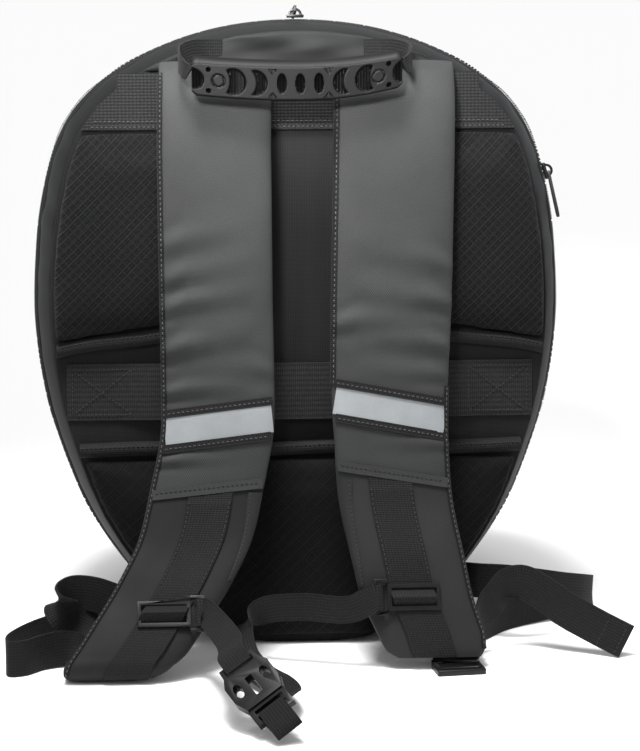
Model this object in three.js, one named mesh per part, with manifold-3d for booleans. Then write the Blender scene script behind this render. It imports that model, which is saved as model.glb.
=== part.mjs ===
// Helmet backpack standing on its base, seen from the harness side.
// Millimetres, +Z up. The harness faces -Y and the moulded shell bulges towards +Y.
import * as THREE from 'three';
import Module from 'manifold-3d';

const wasm = await Module();
wasm.setup();

// Sizes of the whole bag
const LEAN_DEG = 5;             // the back panel leans away from the harness side
const PANEL_LIFT = 3;           // height of the panel's lower edge over the floor
const GAP = 0.3;                // clearance between neighbouring pieces
const BAG_DEPTH = 245;          // from the back panel to the crown of the shell
const ZIP_START = 27;
const SHELL_START = 39;
const SHELL_WALL = 3;
const GUSSET_WALL = 2.5;
const BOARD_THICKNESS = 3;
const WEBBING_THICKNESS = 1.5;
const RING_POINTS = 56;
const BASE_MIDDLE = 85;         // depth of the flat base's middle, which becomes the origin

const lean = THREE.MathUtils.degToRad(LEAN_DEG);
const vec = (x, y, z) => new THREE.Vector3(x, y, z);

// Looks
const looks = {
  twill: { color: 0x4a4c4f, roughness: 0.82, metalness: 0 },
  shell: { color: 0x2b2c2e, roughness: 0.6, metalness: 0 },
  mesh: { color: 0x1d1d1f, roughness: 0.95, metalness: 0 },
  webbing: { color: 0x2a2b2d, roughness: 0.85, metalness: 0 },
  binding: { color: 0x303134, roughness: 0.85, metalness: 0 },
  reflective: { color: 0xb9bcc0, roughness: 0.35, metalness: 0 },
  plastic: { color: 0x2c2d2f, roughness: 0.5, metalness: 0 },
  grip: { color: 0x26272a, roughness: 0.65, metalness: 0 },
  zip: { color: 0x17171a, roughness: 0.7, metalness: 0 },
  metal: { color: 0x202124, roughness: 0.4, metalness: 0.6 },
};

const bag = new THREE.Group();
bag.name = 'helmet_backpack';
// Pieces in the back group use x across, y = depth behind the panel, z = height up the panel.
const back = new THREE.Group();
back.name = 'back_frame';
back.rotation.x = -lean;
back.position.z = PANEL_LIFT;
bag.add(back);

function piece(name, geometry, look, parent = bag) {
  geometry.computeVertexNormals();
  const mesh = new THREE.Mesh(geometry, new THREE.MeshStandardMaterial(looks[look]));
  mesh.name = name;
  parent.add(mesh);
  return mesh;
}

// Solids from sections
function signedVolume(positions, index) {
  let volume = 0;
  const a = vec(0, 0, 0);
  const b = vec(0, 0, 0);
  const c = vec(0, 0, 0);
  for (let i = 0; i < index.length; i += 3) {
    a.fromArray(positions, index[i] * 3);
    b.fromArray(positions, index[i + 1] * 3);
    c.fromArray(positions, index[i + 2] * 3);
    volume += a.dot(b.cross(c)) / 6;
  }
  return volume;
}

function closedGeometry(positions, index) {
  if (signedVolume(positions, index) < 0) {
    for (let i = 0; i < index.length; i += 3) {
      [index[i + 1], index[i + 2]] = [index[i + 2], index[i + 1]];
    }
  }
  const geometry = new THREE.BufferGeometry();
  geometry.setAttribute('position', new THREE.Float32BufferAttribute(positions, 3));
  geometry.setIndex(index);
  return geometry;
}

// Sections are loops with equally many points. With ends open the last section joins the first.
function loft(sections, capped = true) {
  const count = sections[0].length;
  const positions = sections.flat().flatMap((p) => [p.x, p.y, p.z]);
  const index = [];
  const spans = capped ? sections.length - 1 : sections.length;
  for (let i = 0; i < spans; i++) {
    const next = ((i + 1) % sections.length) * count;
    for (let j = 0; j < count; j++) {
      const k = (j + 1) % count;
      const [a, b] = [i * count + j, i * count + k];
      index.push(a, b, next + j, b, next + k, next + j);
    }
  }
  const cap = (row, reversed) => {
    const start = row * count;
    const middle = positions.length / 3;
    const centre = sections[row].reduce((sum, p) => sum.add(p), vec(0, 0, 0)).divideScalar(count);
    positions.push(centre.x, centre.y, centre.z);
    for (let j = 0; j < count; j++) {
      const k = (j + 1) % count;
      if (reversed) index.push(start + k, start + j, middle);
      else index.push(start + j, start + k, middle);
    }
  };
  if (capped) {
    cap(0, true);
    cap(sections.length - 1, false);
  }
  return closedGeometry(positions, index);
}

// Straps and webbing
// A route holds points, the direction across the strap, its width and its thickness.
// Square routes turn the across direction to stand at right angles to the run.
function smoothRoute(stations, steps, square = true) {
  const points = new THREE.CatmullRomCurve3(stations.map((s) => vec(...s.at)), false, 'centripetal');
  const spans = stations.length - 1;
  const out = [];
  for (let i = 0; i <= steps; i++) {
    const t = i / steps;
    const k = Math.min(Math.floor(t * spans), spans - 1);
    const f = t * spans - k;
    const [a, b] = [stations[k], stations[k + 1]];
    const mix = (u, v) => u + (v - u) * f;
    out.push({
      at: points.getPoint(t),
      along: points.getTangent(t),
      across: vec(...a.across).lerp(vec(...b.across), f).normalize(),
      width: mix(a.width, b.width),
      thickness: mix(a.thickness, b.thickness),
    });
  }
  for (const s of out) {
    if (square) s.across.addScaledVector(s.along, -s.across.dot(s.along)).normalize();
    s.face = vec(0, 0, 0).crossVectors(s.along, s.across).normalize();
  }
  return out;
}

function stationList(rows, columns) {
  return rows.map((row) => Object.fromEntries(columns.map((name, i) => [name, row[i]])));
}

// Flat webbing with a four-sided section.
function webbing(route, thickness = WEBBING_THICKNESS) {
  return loft(route.map((s) => [[-1, -1], [1, -1], [1, 1], [-1, 1]].map(([u, v]) => s.at.clone()
    .addScaledVector(s.across, (u * s.width) / 2)
    .addScaledVector(s.face, (v * thickness) / 2))));
}

// Padded strap with rolled edges.
const PADDED_SECTION = [
  [-1, 0], [-0.95, -0.75], [-0.8, -1], [0, -1], [0.8, -1], [0.95, -0.75],
  [1, 0], [0.95, 0.75], [0.8, 1], [0, 1], [-0.8, 1], [-0.95, 0.75],
];
function paddedStrap(route) {
  return loft(route.map((s) => PADDED_SECTION.map(([u, v]) => s.at.clone()
    .addScaledVector(s.across, (u * s.width) / 2)
    .addScaledVector(s.face, (v * s.thickness) / 2))));
}

// A strip sewn across a strap's face at a height, drawn straight along the strap; each half of its
// width moves by the slant along the strap.
const STRIP_LIFT = 0.9;
const STRIP_ROW = [[-0.95, 1], [-0.8, 0], [0, 0], [0.8, 0], [0.95, 1]];
function stripOnStrap(route, { height, length, thickness, slant }) {
  const s = stationAt(route, height);
  const toward = outwards(route);
  return loft(STRIP_ROW.map(([u, drop]) => (
    [[-0.5, 0], [0.5, 0], [0.5, 1], [-0.5, 1]].map(([run, up]) => s.at.clone()
      .addScaledVector(s.across, (u * s.width) / 2)
      .addScaledVector(s.face, toward * (s.thickness / 2 + STRIP_LIFT - drop + thickness * up))
      .addScaledVector(s.along, run * length + slant * u)))));
}

// Outline of the bag
// Half widths of the rim at heights up the panel, measured at the zip.
const RIM_HALF = [
  [-7, 0], [-5.5, 34], [-0.5, 62], [11, 87], [29, 107], [52, 126], [76, 143], [96, 154.5],
  [120, 164.5], [141, 172], [165, 179.5], [190, 184.5], [212, 187.5], [240, 189.3], [276, 187.8],
  [303, 185.2], [330, 180], [350, 174.5], [365, 169], [378, 161], [390, 151], [400, 138.5],
  [411, 123], [421, 103], [430, 80], [437, 54], [441, 27], [442.3, 0],
];
const SEAM_NARROWER = 0.934;
const SEAM_LOWER = 0.972;
const SEAM_SHIFT = 3.2;

const rimLoop = (() => {
  const right = RIM_HALF.map(([s, half]) => vec(half, s, 0));
  const left = RIM_HALF.slice(1, -1).reverse().map(([s, half]) => vec(-half, s, 0));
  const curve = new THREE.CatmullRomCurve3([...right, ...left], true, 'centripetal');
  curve.arcLengthDivisions = 800;
  return curve.getSpacedPoints(RING_POINTS).slice(0, RING_POINTS);
})();

const floorHeight = (depth) => (-PANEL_LIFT + depth * Math.sin(lean)) / Math.cos(lean);

// Loop of the gusset or zip at a depth behind the panel, drawn in by a wall.
function outlineAt(depth, wall = 0, outset = 0) {
  const grown = 1 - (1 - Math.min(depth / SHELL_START, 1)) ** 1.7;
  const loop = rimLoop.map((p) => vec(
    p.x * (SEAM_NARROWER + (1 - SEAM_NARROWER) * grown),
    (SEAM_SHIFT + p.y * SEAM_LOWER) * (1 - grown) + p.y * grown,
    0,
  ));
  return insetLoop(loop, wall - outset).map((p) => (
    vec(p.x, depth, Math.max(p.y, floorHeight(depth) + wall))));
}

function insetLoop(loop, distance) {
  const count = loop.length;
  return loop.map((p, i) => {
    const before = loop[(i + count - 1) % count];
    const after = loop[(i + 1) % count];
    const along = after.clone().sub(before).normalize();
    return vec(p.x - along.y * distance, p.y + along.x * distance, 0);
  });
}

// Share of the rim's size that the shell keeps at each depth.
const SHELL_PROFILE = [
  [SHELL_START + GAP, 1], [62, 1.004], [92, 0.992], [122, 0.965], [150, 0.922], [176, 0.86],
  [199, 0.77], [218, 0.645], [232, 0.48], [241, 0.28], [BAG_DEPTH, 0.09],
];
const SHELL_CROWN_HEIGHT = 196;

function shellLoop(depth, share, wall) {
  const loop = rimLoop.map((p) => vec(
    p.x * share,
    SHELL_CROWN_HEIGHT + (p.y - SHELL_CROWN_HEIGHT) * share,
    0,
  ));
  return insetLoop(loop, wall).map((p) => (
    vec(p.x, depth, Math.max(p.y, floorHeight(depth) + wall))));
}

function shellGeometry() {
  const outer = SHELL_PROFILE.map(([depth, share]) => shellLoop(depth, share, 0));
  const inner = SHELL_PROFILE.map(([depth, share], i) => {
    const last = i === SHELL_PROFILE.length - 1;
    const drop = i === 0 ? 0 : SHELL_WALL * Math.max(1 - share, 0) ** 0.5;
    return shellLoop(depth - (last ? SHELL_WALL : drop), share, last ? 1 : SHELL_WALL);
  });
  return loft([...inner.reverse(), ...outer]);
}

function bandGeometry(depths, wall, bulge = 0) {
  const middle = (depths.length - 1) / 2;
  const outer = depths.map((d, i) => outlineAt(d, 0, bulge * (1 - Math.abs(i - middle) / middle)));
  const inner = depths.map((d) => outlineAt(d, wall));
  return loft([...outer, ...inner.reverse()], false);
}

piece('front_shell', shellGeometry(), 'shell', back);
piece('zip_band', bandGeometry([ZIP_START, 33, SHELL_START - GAP], GUSSET_WALL, 0.8), 'zip', back);
piece('back_gusset', bandGeometry([GAP, 5, 13, ZIP_START - GAP], GUSSET_WALL), 'twill', back);

const seamLoop = outlineAt(0);
function seamHalfAt(height) {
  const right = seamLoop.filter((p) => p.x >= 0).sort((a, b) => a.z - b.z);
  const k = right.findIndex((p) => p.z > height);
  if (k <= 0) return k === 0 ? right[0].x : 0;
  const [a, b] = [right[k - 1], right[k]];
  return a.x + ((b.x - a.x) * (height - a.z)) / (b.z - a.z);
}

const atDepth = (loop, depth) => loop.map((p) => vec(p.x, depth, p.z));
piece('back_panel', loft([atDepth(seamLoop, 0), atDepth(seamLoop, -BOARD_THICKNESS)]), 'mesh', back);

// Pieces laid on the back panel
// A loop between two heights, kept inside the seam.
function panelLoop({ low, high, inset, steps }) {
  const sides = [];
  for (let i = 0; i <= steps; i++) sides.push(low + ((high - low) * i) / steps);
  const right = sides.map((s) => vec(Math.max(seamHalfAt(s) - inset, 4), 0, s));
  const left = sides.map((s) => vec(-Math.max(seamHalfAt(s) - inset, 4), 0, s)).reverse();
  return [...right, ...left];
}

// A flat or cushioned body on the panel: rows of depth and inset.
function cushion(loop, rows) {
  const centre = loop.reduce((sum, p) => sum.add(p), vec(0, 0, 0)).divideScalar(loop.length);
  const halfWidth = Math.max(...loop.map((p) => Math.abs(p.x - centre.x)));
  const halfHeight = Math.max(...loop.map((p) => Math.abs(p.z - centre.z)));
  return loft(rows.map(([depth, inset]) => loop.map((p) => vec(
    centre.x + (p.x - centre.x) * (1 - inset / halfWidth),
    depth,
    centre.z + (p.z - centre.z) * (1 - inset / halfHeight),
  ))));
}

const ON_BOARD = -BOARD_THICKNESS - GAP;
const YOKE_LOW = 404.5;
const BAND_LOW = 362.5;
piece('top_yoke', cushion(
  panelLoop({ low: YOKE_LOW, high: 432.5, inset: 1, steps: 8 }),
  [[ON_BOARD, 0], [-5.4, 0], [-6.4, 1.5]],
), 'twill', back);
piece('top_webbing', cushion(
  panelLoop({ low: BAND_LOW, high: YOKE_LOW - GAP, inset: 1, steps: 8 }),
  [[ON_BOARD, 0], [-5.3, 0]],
), 'webbing', back);

const PAD_FRONT = -17;
const PAD_INNER = 27;
const CUSHION_ROWS = [[ON_BOARD, 2], [-8, 0], [-13, 1.5], [-16, 6], [PAD_FRONT, 14]];
const upperPadLow = { outer: 213, inner: 236 };
function upperPad(side) {
  const heights = [];
  for (let s = upperPadLow.outer; s <= BAND_LOW - 1; s += 18) heights.push(s);
  heights.push(BAND_LOW - GAP);
  const outer = heights.map((s) => vec(side * (seamHalfAt(s) - 1.5), 0, s));
  const inner = [vec(side * PAD_INNER, 0, BAND_LOW - GAP), vec(side * PAD_INNER, 0, upperPadLow.inner)];
  return cushion([...outer, ...inner], CUSHION_ROWS);
}
piece('upper_pad_left', upperPad(-1), 'mesh', back);
piece('upper_pad_right', upperPad(1), 'mesh', back);

const LOWER_PAD_TOP = 132;
piece('lower_pad', cushion(
  panelLoop({ low: 0.5, high: LOWER_PAD_TOP, inset: 1.5, steps: 12 }),
  [[ON_BOARD, 2], [-8, 0], [-12, 2], [-15, 8], [-16, 16]],
), 'mesh', back);

// Bound edges: flat strips with a rounded front.
function bindingBar(points, height, depth) {
  const across = vec(0, 0, 1);
  return loft(points.map(([x, s]) => {
    const centre = vec(x, 0, s);
    const row = [[-1, 0], [1, 0], [1, 0.7], [0.5, 1], [-0.5, 1], [-1, 0.7]];
    return row.map(([u, v]) => centre.clone().addScaledVector(across, (u * height) / 2)
      .setY(ON_BOARD - v * depth));
  }));
}
const BINDING_HEIGHT = 10;
const BINDING_DEPTH = 9;
function upperBinding(side) {
  const drop = BINDING_HEIGHT / 2 + GAP + 0.2;
  return bindingBar([
    [side * PAD_INNER, upperPadLow.inner - drop],
    [side * 100, upperPadLow.outer + (upperPadLow.inner - upperPadLow.outer) * 0.5 - drop],
    [side * (seamHalfAt(upperPadLow.outer) - 2.5), upperPadLow.outer - drop],
  ], BINDING_HEIGHT, BINDING_DEPTH);
}
piece('upper_binding_left', upperBinding(-1), 'binding', back);
piece('upper_binding_right', upperBinding(1), 'binding', back);
const bindingSpan = seamHalfAt(LOWER_PAD_TOP + 6) - 2.5;
piece('lower_binding', bindingBar(
  [-1, -0.5, 0, 0.5, 1].map((k) => [k * bindingSpan, LOWER_PAD_TOP + GAP + BINDING_HEIGHT / 2]),
  BINDING_HEIGHT, BINDING_DEPTH,
), 'binding', back);

// Luggage webbing: sewn down at both ends and bowed clear of the board between them.
const LUGGAGE_HEIGHT = 178.5;
const LUGGAGE_WIDTH = 40;
const luggageRoute = smoothRoute(stationList([
  [[-166, ON_BOARD - 0.75, LUGGAGE_HEIGHT], [0, 0, 1], LUGGAGE_WIDTH, 1.5],
  [[-132, ON_BOARD - 0.75, LUGGAGE_HEIGHT], [0, 0, 1], LUGGAGE_WIDTH, 1.5],
  [[-112, ON_BOARD - 2.6, LUGGAGE_HEIGHT], [0, 0, 1], LUGGAGE_WIDTH, 1.5],
  [[-70, -10.5, LUGGAGE_HEIGHT], [0, 0, 1], LUGGAGE_WIDTH, 1.5],
  [[0, -12, LUGGAGE_HEIGHT], [0, 0, 1], LUGGAGE_WIDTH, 1.5],
  [[70, -10.5, LUGGAGE_HEIGHT], [0, 0, 1], LUGGAGE_WIDTH, 1.5],
  [[112, ON_BOARD - 2.6, LUGGAGE_HEIGHT], [0, 0, 1], LUGGAGE_WIDTH, 1.5],
  [[132, ON_BOARD - 0.75, LUGGAGE_HEIGHT], [0, 0, 1], LUGGAGE_WIDTH, 1.5],
  [[166, ON_BOARD - 0.75, LUGGAGE_HEIGHT], [0, 0, 1], LUGGAGE_WIDTH, 1.5],
], ['at', 'across', 'width', 'thickness']), 24);
piece('luggage_strap', webbing(luggageRoute), 'webbing', back);

// Shoulder straps, in the bag's own frame
const STRAP_COLUMNS = ['at', 'width', 'thickness'];
const crosswise = (station) => ({ ...station, across: [1, 0, 0] });
const LEFT_STRAP = stationList([
  [[-58, 26.5, 412], 82, 5],
  [[-58, 17, 404], 82, 8],
  [[-58.5, 6, 387], 82, 11],
  [[-58.8, -4, 354], 82, 12],
  [[-58.8, -10, 320], 82, 12],
  [[-58.8, -20, 251], 81, 12],
  [[-58.9, -32, 182.5], 80, 12],
  [[-60, -37, 158], 79, 12],
  [[-67.5, -44, 126], 78, 12],
  [[-77, -57, 89], 78, 12],
  [[-91, -71, 63], 78, 12],
  [[-108.5, -86, 38], 77, 11],
  [[-124, -98.5, 18], 76, 10],
  [[-130, -101.5, 10.5], 76, 10],
  [[-132.5, -97, 6.3], 76, 10],
  [[-133.5, -86, 5.7], 76, 10],
  [[-134, -71, 5.4], 75, 9],
], STRAP_COLUMNS).map(crosswise);
const RIGHT_STRAP = stationList([
  [[66.5, 26.5, 412], 84, 5],
  [[66.4, 17, 404], 84, 8],
  [[66, 6, 387], 84, 11],
  [[65, -4, 354], 84, 12],
  [[64, -10, 319], 84, 12],
  [[62, -20, 250], 84, 12],
  [[59.5, -32, 181], 81, 12],
  [[60, -37, 153], 79, 12],
  [[62.4, -45, 112], 79, 12],
  [[70, -60, 73], 78, 12],
  [[76, -68, 46], 77, 12],
  [[84, -75, 24], 75, 11],
  [[89, -79, 7.9], 68, 8],
], STRAP_COLUMNS).map(crosswise);
const leftStrap = smoothRoute(LEFT_STRAP, 34, false);
const rightStrap = smoothRoute(RIGHT_STRAP, 28, false);
piece('shoulder_strap_left', paddedStrap(leftStrap), 'twill');
piece('shoulder_strap_right', paddedStrap(rightStrap), 'twill');

// The face side that looks at -Y.
const outwards = (route) => (route[6].face.y < 0 ? 1 : -1);
// The route's section at a height over the floor.
const stationAt = (route, height) => {
  const k = route.findIndex((s) => s.at.z < height);
  const [a, b] = [route[k - 1], route[k]];
  const f = (a.at.z - height) / (a.at.z - b.at.z);
  return {
    at: a.at.clone().lerp(b.at, f),
    across: a.across.clone().lerp(b.across, f).normalize(),
    along: a.along.clone().lerp(b.along, f).normalize(),
    face: a.face.clone().lerp(b.face, f).normalize(),
    width: a.width + (b.width - a.width) * f,
    thickness: a.thickness + (b.thickness - a.thickness) * f,
  };
};

const REFLECTIVE = { length: 19.4, thickness: 0.6 };
piece('reflective_strip_left', stripOnStrap(leftStrap, {
  ...REFLECTIVE, height: 165.5, slant: -4.6,
}), 'reflective');
piece('reflective_strip_right', stripOnStrap(rightStrap, {
  ...REFLECTIVE, height: 174.5, slant: 7.2,
}), 'reflective');

// Adjusters: three bars, two slots and a side loop for the chest strap
const BAR = 2.8;
const ADJUSTER_WIDTH = 36;
const ADJUSTER_SLOT = 5;
const ADJUSTER_HEIGHT = 3 * BAR + 2 * ADJUSTER_SLOT;
const PLATE = 2;
const CHEST_WIDTH = 19;
const rectangle = (target, x0, y0, x1, y1) => {
  target.moveTo(x0, y0).lineTo(x1, y0).lineTo(x1, y1).lineTo(x0, y1).closePath();
  return target;
};
function adjusterGeometry(side) {
  const half = ADJUSTER_WIDTH / 2;
  const tall = ADJUSTER_HEIGHT / 2;
  const loopTall = CHEST_WIDTH / 2 + 3.2;
  const shape = new THREE.Shape();
  shape.moveTo(-half, -tall).lineTo(half, -tall).lineTo(half, -loopTall).lineTo(half + 10, -loopTall)
    .lineTo(half + 10, loopTall).lineTo(half, loopTall).lineTo(half, tall).lineTo(-half, tall)
    .closePath();
  const slotHalf = half - 2.5;
  shape.holes.push(rectangle(new THREE.Path(), -slotHalf, BAR / 2, slotHalf, BAR / 2 + ADJUSTER_SLOT));
  shape.holes.push(rectangle(new THREE.Path(), -slotHalf, -BAR / 2 - ADJUSTER_SLOT, slotHalf, -BAR / 2));
  shape.holes.push(rectangle(
    new THREE.Path(), half + 0.5, -CHEST_WIDTH / 2 - 1.2, half + 7.5, CHEST_WIDTH / 2 + 1.2,
  ));
  const geometry = new THREE.ExtrudeGeometry(shape, { depth: PLATE, bevelEnabled: false });
  geometry.translate(0, 0, -PLATE / 2);
  if (side < 0) geometry.rotateZ(Math.PI);
  return geometry;
}

// Sets a mesh so that its local X and Y run along two directions of the bag.
function orient(mesh, at, alongX, alongY) {
  const x = alongX.clone().normalize();
  const y = alongY.clone().addScaledVector(x, -alongY.dot(x)).normalize();
  const z = vec(0, 0, 0).crossVectors(x, y);
  mesh.quaternion.setFromRotationMatrix(new THREE.Matrix4().makeBasis(x, y, z));
  mesh.position.copy(at);
  return mesh;
}

// Webbing sewn flat on the strap's face, between two heights.
const WEB = WEBBING_THICKNESS;
const ADJUSTER_LIFT = GAP + WEB + GAP + PLATE / 2;
const STRAP_WEBBING_WIDTH = 29;
function strapWebbing(route, { top, bottom, offset, steps }) {
  const toward = outwards(route);
  return Array.from({ length: steps + 1 }, (_, i) => {
    const height = top + ((bottom - top) * i) / steps;
    const s = stationAt(route, height);
    const face = s.face.clone().multiplyScalar(toward);
    const at = s.at.clone().addScaledVector(face, s.thickness / 2 + GAP + WEB / 2)
      .addScaledVector(s.across, offset(height));
    return { at, across: s.across, face, width: STRAP_WEBBING_WIDTH };
  });
}

const leftAdjusterHeight = 41;
const rightAdjusterHeight = 48;
const leftOffset = (h) => THREE.MathUtils.mapLinear(h, 120, 20, 2.5, 7);
const rightOffset = () => -2.5;
const leftWebbing = strapWebbing(leftStrap, {
  top: 123, bottom: 21, steps: 16, offset: leftOffset,
});
const rightWebbing = strapWebbing(rightStrap, {
  top: 134, bottom: 14, steps: 14, offset: rightOffset,
});
piece('strap_webbing_left', webbing(leftWebbing), 'webbing');
piece('strap_webbing_right', webbing(rightWebbing), 'webbing');

function seatAdjuster(name, route, height, offset, side) {
  const s = stationAt(route, height);
  const toward = outwards(route);
  const face = s.face.clone().multiplyScalar(toward);
  const at = s.at.clone().addScaledVector(face, s.thickness / 2 + ADJUSTER_LIFT)
    .addScaledVector(s.across, offset(height));
  const mesh = piece(name, adjusterGeometry(side), 'plastic');
  orient(mesh, at, s.across, vec(0, 0, 0).crossVectors(face, s.across));
  return { at, across: s.across, face };
}
const leftSeat = seatAdjuster('adjuster_left', leftStrap, leftAdjusterHeight, leftOffset, 1);
const rightSeat = seatAdjuster('adjuster_right', rightStrap, rightAdjusterHeight, rightOffset, -1);

// Side-release buckle, fastened, lying askew in front of the bag
const BUCKLE_AT = vec(-53.5, -196, 38);
const BUCKLE_ALONG = vec(0.463, -0.772, -0.438).normalize();
const BUCKLE_ACROSS = vec(-0.811, -0.17, -0.559).normalize();
function socketGeometry() {
  const shape = new THREE.Shape();
  shape.moveTo(-13, -2).lineTo(13, -2).lineTo(13.5, 5).lineTo(17, 12).lineTo(17, 26)
    .lineTo(13.5, 36).lineTo(-13.5, 36).lineTo(-17, 26).lineTo(-17, 12).lineTo(-13.5, 5).closePath();
  shape.holes.push(rectangle(new THREE.Path(), -10.6, 1, 10.6, 5.4));
  shape.holes.push(rectangle(new THREE.Path(), -2.5, 14, 2.5, 30));
  shape.holes.push(new THREE.Path().absellipse(10.5, 19.5, 3, 6, 0, Math.PI * 2));
  shape.holes.push(new THREE.Path().absellipse(-10.5, 19.5, 3, 6, 0, Math.PI * 2));
  const geometry = new THREE.ExtrudeGeometry(shape, { depth: 8, bevelEnabled: false, curveSegments: 6 });
  geometry.translate(0, 0, -4);
  return geometry;
}
function plugGeometry() {
  const shape = new THREE.Shape();
  shape.moveTo(-14, 36.3).lineTo(14, 36.3).lineTo(14, 50).lineTo(-14, 50).closePath();
  shape.holes.push(rectangle(new THREE.Path(), -10.6, 38.6, 10.6, 41.6));
  shape.holes.push(rectangle(new THREE.Path(), -10.6, 44, 10.6, 47.4));
  const geometry = new THREE.ExtrudeGeometry(shape, { depth: 5, bevelEnabled: false });
  geometry.translate(0, 0, -2.5);
  return geometry;
}
orient(piece('buckle_socket', socketGeometry(), 'plastic'), BUCKLE_AT, BUCKLE_ACROSS, BUCKLE_ALONG);
orient(piece('buckle_plug', plugGeometry(), 'plastic'), BUCKLE_AT, BUCKLE_ACROSS, BUCKLE_ALONG);

// Chest strap: each half leaves an adjuster's side loop and ends at the buckle
const buckleNormal = vec(0, 0, 0).crossVectors(BUCKLE_ACROSS, BUCKLE_ALONG);
const buckleSpot = (along, up) => BUCKLE_AT.clone()
  .addScaledVector(BUCKLE_ALONG, along).addScaledVector(buckleNormal, up).toArray();
const loopSpot = (seat, reach, lift) => seat.at.clone()
  .addScaledVector(seat.across, reach).addScaledVector(seat.face, lift).toArray();
const downStrap = (seat) => vec(0, 0, 0).crossVectors(seat.face, seat.across).toArray();
const buckleWide = BUCKLE_ACROSS.clone().negate().toArray();
const ROUTE = ['at', 'across', 'width', 'thickness'];
const LOOP_BAR = ADJUSTER_WIDTH / 2 + 8.75;
const chestRow = (at, across) => [at, across, CHEST_WIDTH, WEB];
const leftChest = smoothRoute(stationList([
  chestRow(loopSpot(leftSeat, LOOP_BAR - 4.8, -0.6), downStrap(leftSeat)),
  chestRow(loopSpot(leftSeat, LOOP_BAR - 3.6, 2.2), downStrap(leftSeat)),
  chestRow(loopSpot(leftSeat, LOOP_BAR, 3.4), downStrap(leftSeat)),
  chestRow([-64, -122, 44], [0.62, 0.15, 0.77]),
  chestRow([-58, -160, 44], [0.76, 0.2, 0.6]),
  chestRow(buckleSpot(-6, 5.6), buckleWide),
  chestRow(buckleSpot(4.5, 5.2), buckleWide),
], ROUTE), 18);
piece('chest_webbing_left', webbing(leftChest), 'webbing');

const rightChest = smoothRoute(stationList([
  chestRow(loopSpot(rightSeat, -LOOP_BAR + 4.8, -0.6), downStrap(rightSeat)),
  chestRow(loopSpot(rightSeat, -LOOP_BAR + 3.6, 2.2), downStrap(rightSeat)),
  chestRow(loopSpot(rightSeat, -LOOP_BAR, 3.4), downStrap(rightSeat)),
  chestRow([29, -74, 42], [0, 0.1, 1]),
  chestRow([-5, -62, 41], [0, 0.1, 1]),
  chestRow([-32, -54, 36], [0.35, 0, 0.94]),
  chestRow([-45, -60, 26], [0.8, -0.1, 0.6]),
  chestRow([-45, -82, 14.5], [0.9, -0.1, 0.43]),
  chestRow([-36, -112, 9], [0.87, 0.3, 0.4]),
  chestRow([-24, -145, 9.5], [0.82, 0.3, 0.48]),
  chestRow([-20, -180, 12], [0.82, 0.2, 0.54]),
  chestRow(buckleSpot(41, -6), buckleWide),
  chestRow(buckleSpot(56, -3.4), buckleWide),
  chestRow(buckleSpot(64, -1.4), buckleWide),
  chestRow(buckleSpot(66, 1.4), buckleWide),
  chestRow(buckleSpot(63, 3.8), buckleWide),
  chestRow(buckleSpot(54, 4.2), buckleWide),
  chestRow(buckleSpot(43, 3.9), buckleWide),
], ROUTE), 44);
piece('chest_webbing_right', webbing(rightChest), 'webbing');

// Ladder locks at the strap ends and the webbing that runs through them
const LOCK_THICKNESS = 4;
function ladderLockGeometry() {
  const shape = rectangle(new THREE.Shape(), -17, -11, 17, 11);
  shape.holes.push(rectangle(new THREE.Path(), -13.2, -8.4, 13.2, -3.6));
  shape.holes.push(rectangle(new THREE.Path(), -13.2, 1.2, 13.2, 7.2));
  return new THREE.ExtrudeGeometry(shape, { depth: LOCK_THICKNESS, bevelEnabled: false });
}
function ladderLock(name, x, y, turn) {
  const mesh = piece(name, ladderLockGeometry(), 'plastic');
  mesh.position.set(x, y, GAP);
  mesh.rotation.z = turn;
}
ladderLock('ladder_lock_left', -134.1, -59.6, 0);
ladderLock('ladder_lock_right', 103, -88, 0.12);

const STRAND_WIDTH = 25;
const strand = (rows, steps) => webbing(smoothRoute(stationList(
  rows.map(([at, across]) => [at, across, STRAND_WIDTH, WEB]), ROUTE,
), steps));
piece('lower_webbing_left', strand([
  [[-109, 13.5, 33.5], [0, 0.2, 1]],
  [[-132, 8, 20], [0.1, 0.1, 1]],
  [[-153, 3, 13.5], [0, 0, 1]],
  [[-178, -11, 13], [0, 0, 1]],
  [[-197, -38, 13], [0, 0, 1]],
  [[-208, -66, 13], [0, 0, 1]],
  [[-206, -81, 13], [0, 0, 1]],
  [[-196, -79, 13], [0, 0, 1]],
  [[-183, -65, 13], [0, 0, 1]],
  [[-169, -57, 13], [0, 0.2, 0.98]],
  [[-158, -54.5, 10.6], [0, 0.7, 0.7]],
  [[-152, -53.5, 4.5], [0, 0.98, 0.15]],
], 36), 'webbing');
piece('tail_webbing_left', strand([
  [[-136, -37, 6.4], [0, 1, 0.1]],
  [[-147, -31, 17], [0.1, 0.7, 0.6]],
  [[-160, -31, 24], [0.5, 0.35, 0.8]],
  [[-169, -36, 32], [0.6, 0.2, 0.75]],
  [[-172, -33, 41], [0.3, 0.1, 0.95]],
  [[-164, -28, 45], [0.05, 0, 1]],
  [[-150, -27, 44], [0, 0, 1]],
  [[-135, -28, 39], [0, 0, 1]],
  [[-118, -30, 31], [0, 0, 1]],
  [[-104, -32, 24], [0, 0, 1]],
], 30), 'webbing');
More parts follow.
